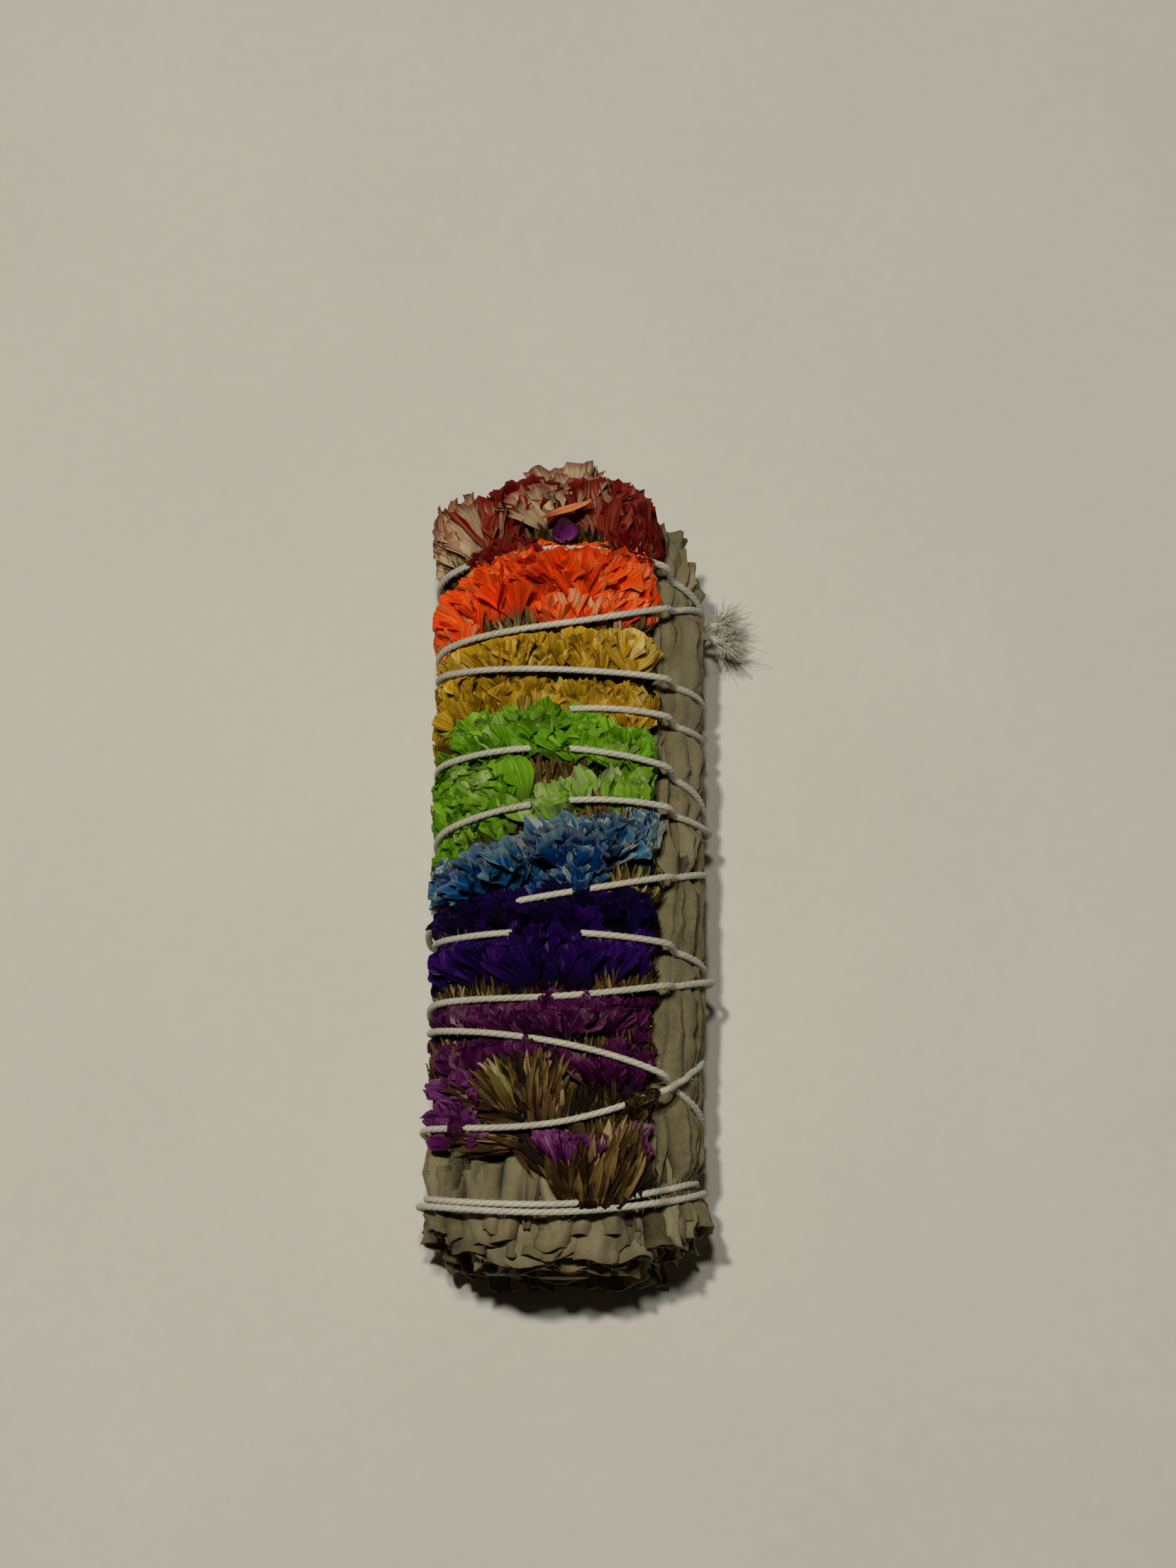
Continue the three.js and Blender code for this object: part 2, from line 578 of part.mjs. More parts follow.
// Where the heads of a spray root at an angle, between one head and the next: [y, size].
function betweenHeads(heads, angle) {
  const sorted = [...heads].sort((a, b) => a[0] - b[0]);
  const next = sorted.findIndex(([a]) => a >= angle);
  if (next === 0) return sorted[0].slice(1);
  if (next < 0) return sorted[sorted.length - 1].slice(1);
  const [a, b] = [sorted[next - 1], sorted[next]];
  const t = (angle - a[0]) / (b[0] - a[0]);
  return [lerp(a[1], b[1], t), lerp(a[2], b[2], t)];
}

// A pleated frill that joins a spray's heads round the bundle, from the seam that it is rooted behind
// to the heads' tips or to the next seam up, with a jagged rim and deeper notches.
function frill(heads, lowSeam, highSeam, { length, tilt, pleatsPerHead, notch, jag, ruffle }) {
  const angles = heads.map(([angle]) => angle);
  const from = Math.min(...angles) - FRILL_BEYOND_HEADS;
  const to = Math.min(Math.max(...angles) + FRILL_BEYOND_HEADS, FRILL_LEFTMOST);
  const pleats = pleatsPerHead * heads.length;
  const reaches = Array.from({ length: pleats + 1 }, (_, i) => {
    const dip = i % pleatsPerHead === 2 ? notch : 0;
    return 1 - dip - (i % 2 ? 0 : jag) * draw(0.7, 1.3);
  });
  const rises = reaches.map((_, i) => (i % 2 ? ruffle : -ruffle) * draw(0.6, 1.3));
  return blade(pleats, 1, PETAL_THICKNESS, (u, v) => {
    const pleat = Math.round(((u + 1) / 2) * pleats);
    const here = lerp(to, from, (u + 1) / 2);
    const [headY, size] = betweenHeads(heads, here);
    const rootY = seamAt(lowSeam, FRILL_ROOT) + FRILL_MARGIN;
    const tipHeight = FRILL_ROOT + length * size * Math.sin(toRadians(tilt)) + rises[pleat];
    const tipY = headY + length * size * Math.cos(toRadians(tilt));
    const limit = Math.min(tipY, seamAt(highSeam, tipHeight - PETAL_THICKNESS) - FRILL_MARGIN);
    const angle = here - FRILL_SPLAY * u * v;
    const y = lerp(rootY, limit, v * reaches[pleat]);
    return { point: place(angle, y, lerp(FRILL_ROOT, tipHeight, v)), normal: outwardAt(angle, y) };
  });
}

// One fan of papery petals that stands up: pleated, jagged and cupped, narrowing to its root.
function standingFan(angle, y, height, aside, size) {
  const { length, tilt, pleats, spread, jag, ruffle, cup } = FAN;
  const out = outwardAt(angle, y);
  const along = new THREE.Vector3(0, 1, 0);
  const across = new THREE.Vector3().crossVectors(along, out);
  const root = place(angle, y, height);
  const full = length * size * draw(0.92, 1.08);
  const lift = toRadians(tilt + draw(-6, 6));
  const reaches = Array.from({ length: pleats + 1 }, () => 1 + draw(-jag, jag));
  const rises = reaches.map((_, i) => (i % 2 ? ruffle : -ruffle) * draw(0.7, 1.3));
  return blade(pleats, 1, PETAL_THICKNESS, (u, v) => {
    const pleat = Math.round(((u + 1) / 2) * pleats);
    const turn = toRadians(aside + spread * u);
    const rise = lift + cup * u * u;
    const lying = along.clone().multiplyScalar(Math.cos(turn)).addScaledVector(across, Math.sin(turn));
    const direction = lying.clone().multiplyScalar(Math.cos(rise)).addScaledVector(out, Math.sin(rise));
    const normal = out.clone().multiplyScalar(Math.cos(rise)).addScaledVector(lying, -Math.sin(rise));
    const point = root.clone().addScaledVector(direction, full * v * reaches[pleat]);
    return { point: point.addScaledVector(normal, rises[pleat] * v), normal };
  });
}

// The places between the turns of the string where a spray's fans can stand up: [angle, y].
function fanPlaces(heads) {
  const angles = heads.map(([angle]) => angle);
  const [from, to] = [Math.min(...angles), Math.min(Math.max(...angles), FAN_LEFTMOST)];
  const places = [];
  for (let i = 0; i < FANS_PER_SPRAY; i += 1) {
    const angle = lerp(to, from, i / (FANS_PER_SPRAY - 1)) + draw(-3, 3);
    const base = betweenHeads(heads, angle)[0];
    const choices = FAN_SHIFTS.map((shift) => base + shift);
    const passes = passesAt(angle);
    const gap = (y, pass) => Math.max(y - pass, pass - y - FAN_ALONG);
    const room = (y) => Math.min(FAN_ROOM, ...passes.map((pass) => gap(y, pass)));
    const best = choices.reduce((most, y) => (room(y) > room(most) + FAN_CLEARANCE ? y : most));
    if (room(best) > FAN_CLEARANCE) places.push([angle, best]);
  }
  return places;
}

// The dyed florets of a spray: a frill that lies back, with fans that stand up out of it.
function floretsOf(spray, highSeam) {
  const ring = shingleRing(spray.brow, highSeam);
  const fans = fanPlaces(spray.heads).map(([angle, y]) => {
    const risen = (y - seamAt(spray.brow, FRILL_ROOT)) * Math.tan(toRadians(FRILL_RISE));
    const height = FRILL_ROOT - FAN_SUNK + risen;
    return standingFan(angle, y, height, draw(-14, 14), betweenHeads(spray.heads, angle)[1]).intersect(ring);
  });
  return fused([frill(spray.heads, spray.brow, highSeam, FLORETS), ...fans]);
}

// The brown bracts of a spray: a toothed frill between the seam and the florets' brow.
function bractsOf(spray) {
  const heads = spray.heads.map(([angle]) => [angle, spray.seam, 1]);
  return frill(heads, spray.seam, spray.brow, BRACTS);
}

// The stem of a spray: down out of the bracts and on along the leaves, grown by a margin for the
// furrow that it presses in them.
function stemOf(spray, margin) {
  const { stemAngle, seam } = spray;
  const top = place(stemAngle, seam - STEM_TOP.back, STEM_TOP.height);
  const bend = place(stemAngle, seam - STEM_BEND_BACK, STEM_HEIGHT);
  const end = place(stemAngle, Math.max(seam - STEM_LENGTH, CORE_CUT_Y + 1), STEM_HEIGHT);
  const elbow = new THREE.IcosahedronGeometry(STEM_RADIUS + margin, 0).translate(bend.x, bend.y, bend.z);
  const radius = STEM_RADIUS + margin;
  return fused([bar(top, bend, radius, 5), solidOf(elbow), bar(bend, end, radius, 5)]);
}

const SAGE = new THREE.MeshStandardMaterial({ color: 0x8a8268, roughness: 0.95, metalness: 0 });
const BRACT = new THREE.MeshStandardMaterial({ color: 0x6b5130, roughness: 0.85, metalness: 0 });
const COTTON = new THREE.MeshStandardMaterial({ color: 0xcbc4b2, roughness: 0.9, metalness: 0 });

// A named mesh of a solid, with flat faces.
function namedMesh(name, solid, material) {
  const { numProp, vertProperties, triVerts } = solid.getMesh();
  const positions = new Float32Array((vertProperties.length / numProp) * 3);
  for (let i = 0; i < positions.length / 3; i += 1) {
    positions.set(vertProperties.subarray(i * numProp, i * numProp + 3), i * 3);
  }
  const geometry = new THREE.BufferGeometry();
  geometry.setAttribute("position", new THREE.BufferAttribute(positions, 3));
  geometry.setIndex(new THREE.BufferAttribute(new Uint32Array(triVerts), 1));
  const flat = geometry.toNonIndexed();
  flat.computeVertexNormals();
  const mesh = new THREE.Mesh(flat, material);
  mesh.name = name;
  return mesh;
}

const stick = new THREE.Group();

seededRandom(11);
const core = pressedCore();
for (let i = 0; i < SPRIG_COUNT; i += 1) {
  stick.add(namedMesh(`sage_sprig_${i + 1}`, sageSprig(i, core), SAGE));
}

seededRandom(23);
SPRAYS.forEach((spray, i) => {
  const petal = new THREE.MeshStandardMaterial({ color: spray.petal, roughness: 0.8, metalness: 0 });
  const florets = floretsOf(spray, i ? SPRAYS[i - 1].seam : spray.top);
  const bracts = bractsOf(spray).add(stemOf(spray, 0));
  stick.add(namedMesh(`${spray.name}_florets`, mainBody(florets.subtract(stringGroove)), petal));
  stick.add(namedMesh(`${spray.name}_bracts`, mainBody(bracts.subtract(stringGroove)), BRACT));
});

stick.add(namedMesh("cotton_string", mainBody(stringPiece), COTTON));

// The origin is the middle of the object's box, on the surface that it lies on.
const box = new THREE.Box3().setFromObject(stick);
const middle = box.getCenter(new THREE.Vector3());
stick.position.set(-middle.x, -middle.y, -box.min.z);

export default stick;
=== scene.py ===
"""Looks of the statice smudge stick: sage leaves, dyed statice, dry husks and the cotton string round them.

Every small form is modelled once and copied. A copy is bent and laid on a flat map of the bundle: an angle
round it in degrees (0 right, 90 up, 180 left), a place y along it and a height over its oval, in
millimetres. It is then pressed under the turns of string that cross it, and the map is wrapped round the
bundle.
"""

import logging
import math
from dataclasses import dataclass, field
from enum import Enum
from typing import Union

import bmesh
import bpy
import numpy as np
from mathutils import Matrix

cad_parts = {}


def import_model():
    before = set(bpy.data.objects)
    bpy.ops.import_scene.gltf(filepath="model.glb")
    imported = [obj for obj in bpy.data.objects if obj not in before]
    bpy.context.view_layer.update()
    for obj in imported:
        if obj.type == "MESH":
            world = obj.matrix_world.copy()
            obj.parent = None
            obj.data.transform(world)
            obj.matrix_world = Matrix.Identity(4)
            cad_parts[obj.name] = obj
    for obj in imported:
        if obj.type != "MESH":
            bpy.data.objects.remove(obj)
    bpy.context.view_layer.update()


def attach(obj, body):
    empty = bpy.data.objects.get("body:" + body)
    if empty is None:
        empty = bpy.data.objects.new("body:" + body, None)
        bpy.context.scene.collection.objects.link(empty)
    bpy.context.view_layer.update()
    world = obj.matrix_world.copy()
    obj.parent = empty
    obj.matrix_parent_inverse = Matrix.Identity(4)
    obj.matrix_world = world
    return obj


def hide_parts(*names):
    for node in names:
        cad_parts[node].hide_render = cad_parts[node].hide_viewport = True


MM = 0.001
CAD_SHIFT = np.array([-0.973, 0.344, 0.0])
BODY = "root"
MAP_NAME = "Surface"
FLOWERS_FROM = 57.0
FLOWERS_TO = 174.0
NUMBER_CYCLE = 97
EDGE_DRIFT = 9.0
EDGE_EASE = 22.0
SURFACE_CLEARANCE = 0.12
LEAF_THICKNESS = 0.012
TORN_THICKNESS = 0.045
LEAF_DEPTH = 0.3
TORN_DEPTH = 0.32

log = logging.getLogger("smudge_stick")

Colour = tuple[float, float, float]
Numbers = Union[float, np.ndarray]


def smoothstep(value: Numbers, low: float, high: float) -> Numbers:
    """Eases from 0 at low to 1 at high."""
    part = np.clip((value - low) / (high - low), 0.0, 1.0)
    return part * part * (3.0 - 2.0 * part)


def lerp(low: Numbers, high: Numbers, part: Numbers) -> Numbers:
    """The value that lies part of the way from low to high."""
    return low + (high - low) * part


@dataclass(frozen=True)
class Bundle:
    """The pressed bundle's oval, as its solids have it."""

    half_width: float = 15.5
    half_height: float = 11.5
    centre_z: float = 11.15
    flare: float = 1.7
    sway: float = -1.7
    flower_middle: float = 117.0
    flower_half_span: float = 68.0
    flower_fade: float = 16.0
    cut_end: float = -53.2
    top_end: float = 48.5

    def width_at(self, y: Numbers) -> Numbers:
        """The half width at y, wider at the cut end."""
        return self.half_width + self.flare * smoothstep(-y, 18.0, 46.0)

    def sway_at(self, y: Numbers) -> Numbers:
        """How far the middle lies to the side at y."""
        return self.sway * smoothstep(-y, 8.0, 44.0)

    def away(self, angle: Numbers) -> Numbers:
        """How far round an angle is from the middle of the flowers."""
        turned = np.mod(angle - self.flower_middle, 360.0)
        return np.minimum(turned, 360.0 - turned)

    def leaf_top(self, angle: Numbers) -> Numbers:
        """The height that the leaves reach at an angle."""
        edge = self.flower_half_span
        return smoothstep(self.away(angle), edge, edge + self.flower_fade)

    def rate(self, angle: Numbers) -> Numbers:
        """Millimetres round the oval for each degree at an angle."""
        turn = np.radians(angle)
        return np.radians(np.hypot(self.half_width * np.sin(turn), self.half_height * np.cos(turn)))

    def place(self, angle: np.ndarray, y: np.ndarray, height: np.ndarray) -> np.ndarray:
        """Wraps places on the flat map round the bundle.

        Args:
            angle: degrees round the bundle.
            y: places along it.
            height: heights over the oval.

        Returns:
            One row of x, y and z in millimetres for each place.
        """
        turn = np.radians(angle)
        width = self.width_at(y)
        out_x, out_z = np.cos(turn) / width, np.sin(turn) / self.half_height
        size = np.hypot(out_x, out_z)
        x = self.sway_at(y) + width * np.cos(turn) + height * out_x / size
        z = self.centre_z + self.half_height * np.sin(turn) + height * out_z / size
        return np.stack([x, y + 0.0 * x, z], 1) + CAD_SHIFT


BUNDLE = Bundle()


@dataclass(frozen=True)
class Winding:
    """The route of the string, down the bundle and back up.

    It is its solid's own route, sunk a little at the sides. Each row of down and up is one pass over the
    front, as the string's y at the right, the middle and the left or back. Each row of hidden is a stretch
    where flowers lie over the string: its first and last angle and the lowest and highest y of the pass.
    """

    radius: float = 0.45
    step: float = 2.0
    press_clearance: float = 0.08
    press_slope: float = 1.35
    cover_rise: float = 0.12
    cover_slope: float = 1.6
    down: tuple = (
        (38.3, 40.2, 36.0), (26.6, 23.6, 23.3), (13.7, 13.0, 8.7),
        (-9.1, -11.2, -12.7), (-20.7, -25.6, -32.6), (-42.0, -45.2, -40.2),
    )
    up: tuple = (
        (-43.2, -46.4, -41.4), (-34.4, -35.2, -24.4), (-18.2, -19.3, -13.9),
        (-8.7, -5.8, 0.5), (3.4, 6.2, 6.4), (15.4, 18.4, 18.6), (28.4, 30.2, 36.3),
    )
    knot_angle: float = -18.0
    knot_y: float = 35.2
    knot_height: float = 0.6
    hidden: tuple = (
        (56, 140, 37, 42), (92, 165, 15, 19.5), (92, 108, 12, 14), (92, 108, 4.5, 7),
        (113, 172, -9.2, -5.5), (84, 91, -6.5, -4.5), (87, 115, -12.2, -9.5), (97, 103, -20, -18),
        (82, 86, -20, -18),
        (103, 108, -26, -22.5), (130, 138, -36.5, -33.5), (53, 67, -34.5, -30), (56, 83, -47, -41),
    )

    def height(self, angle: Numbers, y: Numbers) -> Numbers:
        """The height of the string's middle over the oval."""
        over_flowers = lerp(1.1, 3.7, smoothstep(y, -43.0, -31.0))
        low = 1.3 * smoothstep(-y, 27.0, 34.0) * (1.0 - smoothstep(-y, 37.0, 43.0))
        over_flowers = over_flowers - (1.5 + low) * smoothstep(np.mod(angle, 360.0), 148.0, 184.0)
        over_leaves = lerp(0.2, -1.0, smoothstep(-y, 30.0, 40.0))
        aside = smoothstep(BUNDLE.away(angle), 65.0, 81.0)
        return lerp(over_flowers, BUNDLE.leaf_top(angle) + over_leaves, aside)

    @staticmethod
    def marks(first: list[float], passes: tuple, last: list[float]) -> np.ndarray:
        """The string's y at every quarter turn."""
        made = list(first)
        for i, crossing in enumerate(passes):
            made.extend(crossing)
            if i + 1 < len(passes):
                made.append((crossing[2] + passes[i + 1][0]) / 2.0)
        return np.array(made + list(last))

    @staticmethod
    def along_marks(marks: np.ndarray, turn: np.ndarray) -> np.ndarray:
        """The string's y at any number of quarter turns, smooth through the marks."""
        i = np.clip(np.floor(turn).astype(int), 0, len(marks) - 2)
        t = turn - i
        p0, p1, p2, p3 = (marks[np.clip(i + k, 0, len(marks) - 1)] for k in (-1, 0, 1, 2))
        bend = (2 * p0 - 5 * p1 + 4 * p2 - p3) * t * t + (3 * p1 - p0 - 3 * p2 + p3) * t ** 3
        return 0.5 * (2 * p1 + (p2 - p0) * t + bend)

    def routes(self) -> tuple[np.ndarray, np.ndarray]:
        """The two lengths of string.

        Returns:
            For each length, rows of angle, y and height, from its start to its end.
        """
        down_marks = self.marks([34.4, 36.4], self.down, [-41.8])
        up_marks = self.marks([-41.6], self.up, [32.0])
        down_angle = np.arange(self.knot_angle, -90.0 * (len(down_marks) - 1) - 0.1, -self.step)
        turns_up = 90.0 * (len(up_marks) - 2) - self.knot_angle
        up_angle = np.arange(270.0, 270.0 - turns_up - 0.1, -self.step)
        down_y = self.along_marks(down_marks, -down_angle / 90.0)
        up_y = self.along_marks(up_marks, (270.0 - up_angle) / 90.0)
        down = np.stack([down_angle, down_y, self.height(down_angle, down_y)], 1)
        gap = np.full(len(up_angle), 99.0)
        for k in range(-8, 2):
            other = np.interp(up_angle + 360.0 * k, down_angle[::-1], down_y[::-1], np.nan, np.nan)
            gap = np.fmin(gap, np.abs(other - up_y))
        rise = 0.95 * (1.0 - smoothstep(gap, 1.2, 4.0))
        return down, np.stack([up_angle, up_y, self.height(up_angle, up_y) + rise], 1)

    def passes(self, angle: np.ndarray) -> tuple[np.ndarray, np.ndarray]:
        """Where the string passes each angle: its y and its height, one row for each pass."""
        around = np.mod(angle, 360.0)
        ys, heights = [], []
        for route in self.routes():
            for k in range(-9, 2):
                here = around + 360.0 * k
                ys.append(np.interp(here, route[::-1, 0], route[::-1, 1], np.nan, np.nan))
                heights.append(np.interp(here, route[::-1, 0], route[::-1, 2], np.nan, np.nan))
        return np.array(ys), np.array(heights)

    def pressed(self, angle: np.ndarray, y: np.ndarray, height: np.ndarray, covers: bool) -> np.ndarray:
        """Heights of what the string presses down, and of what lies over it where it is hidden.

        Args:
            angle: degrees round the bundle.
            y: places along it.
            height: heights before the string was wound.
            covers: whether this may lie over the string where the string is hidden.

        Returns:
            The heights after it.
        """
        ys, heights = self.passes(angle)
        around = np.mod(angle, 360.0)
        hidden = np.zeros(ys.shape, bool)
        if covers:
            for first, last, low, high in self.hidden:
                hidden |= (around > first) & (around < last) & (ys > low) & (ys < high)
        gap = np.abs(ys - y)
        slope = self.press_slope * np.maximum(gap - self.radius, 0.0)
        none = np.isnan(gap)
        under = heights - self.radius - self.press_clearance + slope
        over = heights + self.radius + self.cover_rise - self.cover_slope * slope
        ceiling = np.min(np.where(none | hidden, np.inf, under), 0)
        cover = np.max(np.where(none | ~hidden, -np.inf, over), 0)
        return np.minimum(np.maximum(height, cover), ceiling)


WINDING = Winding()


@dataclass(frozen=True)
class Pattern:
    """A form that repeats: its corners, four-sided faces and each corner's place across and along it."""

    corners: np.ndarray
    faces: np.ndarray
    across: np.ndarray
    along: np.ndarray


class Bench:
    """One sheet of paper or leaf, added as a grid and shaped by operators in edit mode."""

    def __init__(self, columns: int, rows: int) -> None:
        """Lays out a square sheet of columns by rows faces, its root edge at y = 0."""
        bpy.ops.object.select_all(action="DESELECT")
        bpy.ops.mesh.primitive_grid_add(
            x_subdivisions=columns, y_subdivisions=rows, size=1.0, location=(0.0, 0.0, 0.0)
        )
        self.sheet = bpy.context.object
        mesh = self.sheet.data
        flat = np.zeros(len(mesh.vertices) * 3, np.float32)
        mesh.vertices.foreach_get("co", flat)
        flat = flat.reshape(-1, 3)
        self.across = np.round(2.0 * flat[:, 0], 4)
        self.along = np.round(flat[:, 1] + 0.5, 4)
        for name, values in (("across", self.across), ("along", self.along)):
            layer = mesh.attributes.new(name, "FLOAT", "POINT")
            layer.data.foreach_set("value", values.astype(np.float32))
        self.columns = sorted(set(self.across))
        self.rows = sorted(set(self.along))
        self.all = np.ones(len(flat), bool)
        bpy.context.tool_settings.mesh_select_mode = (True, False, False)
        bpy.ops.object.mode_set(mode="EDIT")
        self.move(self.all, y=0.5)

    def pick(self, chosen: np.ndarray) -> None:
        """Selects the corners that are chosen, and no others."""
        form = bmesh.from_edit_mesh(self.sheet.data)
        for corner, picked in zip(form.verts, chosen):
            corner.select = bool(picked)
        form.select_flush_mode()
        bmesh.update_edit_mesh(self.sheet.data)

    def move(self, chosen: np.ndarray, x: float = 0.0, y: float = 0.0, z: float = 0.0) -> None:
        """Moves the chosen corners."""
        self.pick(chosen)
        bpy.ops.transform.translate(value=(x, y, z))

    def stretch(self, chosen: np.ndarray, x: float = 1.0, y: float = 1.0, z: float = 1.0) -> None:
        """Stretches the chosen corners from the root's middle."""
        self.pick(chosen)
        bpy.ops.transform.resize(value=(x, y, z), center_override=(0.0, 0.0, 0.0))

    def wrap(self, opening: float, degrees: float, pleat: float) -> None:
        """Wraps the sheet to a half-open funnel, pleated more and more towards its rim."""
        for i, column in enumerate(self.columns):
            turn = math.radians(degrees) * column
            fold = pleat if i % 2 else -pleat
            for row in self.rows:
                here = (self.across == column) & (self.along == row)
                reach = opening * (0.1 + 0.9 * row) + fold * row ** 1.5
                x = reach * math.sin(turn)
                z = reach * (1.0 - math.cos(turn)) + 0.12 * row ** 3
                y = row * (0.2 * math.cos(turn) + 0.8) + fold * row
                self.move(here, x=x - 0.5 * column, y=y - row, z=z)

    def taper(self, widths: tuple[float, ...]) -> None:
        """Gives each row its width, read off evenly spaced widths from root to tip."""
        for row in self.rows:
            self.stretch(self.along == row, x=float(np.interp(row, np.linspace(0, 1, len(widths)), widths)))

    def finish(self, thickness: float, offset: float = 0.0) -> Pattern:
        """Gives the sheet its thickness and takes it off the bench.

        Args:
            thickness: of the sheet, as a share of its length, or 0 for one thin as tissue.
            offset: where the thickness goes, from -1 below to 1 above.

        Returns:
            The finished pattern.
        """
        bpy.ops.object.mode_set(mode="OBJECT")
        if thickness:
            shell = self.sheet.modifiers.new("Shell", "SOLIDIFY")
            shell.thickness = thickness
            shell.offset = offset
            bpy.ops.object.modifier_apply(modifier=shell.name)
        mesh = self.sheet.data
        corners = np.zeros(len(mesh.vertices) * 3, np.float32)
        mesh.vertices.foreach_get("co", corners)
        faces = np.array([list(face.vertices) for face in mesh.polygons])
        values = {}
        for name in ("across", "along"):
            values[name] = np.zeros(len(mesh.vertices), np.float32)
            mesh.attributes[name].data.foreach_get("value", values[name])
        bpy.data.objects.remove(self.sheet)
        bpy.data.meshes.remove(mesh)
        return Pattern(corners.reshape(-1, 3).astype(float), faces, values["across"], values["along"])


class Kind(Enum):
    """The forms that the small parts are cut to."""

    FAN = "pleated half funnel"
    RUFFLE = "full ruffled funnel"
    PETAL = "smooth petal"
    STRIP = "narrow torn strip"
    HUSK = "folded pointed husk"
    LEAF = "long felted leaf"
    TORN = "torn leaf end"
    SLAB = "pressed inner leaves"

    @property
    def density(self) -> float:
        """How many copies are laid for each one that a tuft counts."""
        return {Kind.FAN: 1.05, Kind.RUFFLE: 1.2, Kind.PETAL: 1.0, Kind.STRIP: 1.3, Kind.HUSK: 1.8}[self]


@dataclass
class PatternBook:
    """Models each form once."""

    tissue: float = 0.0
    forms: dict = field(default_factory=dict)

    def funnel(self, columns: int, rows: int, opening: float, degrees: float, pleat: float) -> Pattern:
        """A pleated papery funnel, open on one side."""
        bench = Bench(columns, rows)
        bench.wrap(opening, degrees, pleat)
        return bench.finish(self.tissue)

    def blade(self, columns: int, rows: int, widths: tuple, fold: float, thickness: float) -> Pattern:
        """A sheet with a width at each row and a fold along its middle."""
        bench = Bench(columns, rows)
        bench.taper(widths)
        for column in bench.columns:
            bench.move(bench.across == column, z=fold * abs(column))
        return bench.finish(thickness)

    def slab(self) -> Pattern:
        """A thick block of pressed leaves."""
        return Bench(8, 20).finish(1.0, -1.0)

    def model(self) -> None:
        """Models the forms."""
        self.forms = {
            Kind.FAN: self.funnel(18, 4, 0.5, 80.0, 0.022),
            Kind.RUFFLE: self.funnel(14, 4, 0.52, 110.0, 0.04),
            Kind.PETAL: self.blade(6, 7, (0.2, 0.46, 0.7, 0.86, 0.9, 0.72, 0.3), 0.04, self.tissue),
            Kind.STRIP: self.blade(4, 6, (0.16, 0.22, 0.27, 0.3, 0.3, 0.26, 0.12), -0.07, self.tissue),
            Kind.HUSK: self.blade(4, 6, (0.05, 0.11, 0.13, 0.12, 0.1, 0.06, 0.01), -0.06, self.tissue),
            Kind.LEAF: self.blade(
                10, 30, (0.15, 0.6, 0.9, 1.0, 1.0, 0.98, 0.9, 0.75, 0.5, 0.15), 0.0, LEAF_THICKNESS
            ),
            Kind.TORN: self.blade(10, 9, (1.0, 1.0, 0.98, 0.94, 0.88), 0.0, TORN_THICKNESS),
            Kind.SLAB: self.slab(),
        }
        log.info("modelled %d forms", len(self.forms))


@dataclass(frozen=True)
class Tuft:
    """Petals, husks or the like that grow from one place on the bundle."""

    angle: float
    y: float
    length: float
    aim: float = 0.0
    count: int = 8
    shade: float = 0.5
    kind: Kind = Kind.FAN
    width: float = 1.0
    spread: float = 20.0
    lean: tuple[float, float] = (8.0, 38.0)
    height: float = 1.3
    scatter: tuple[float, float] = (1.5, 1.0)
    curl: float = 0.12
    crumple: float = 0.2
    vary: float = 0.14
    jag: float = 0.07
    ruffle: float = 0.075


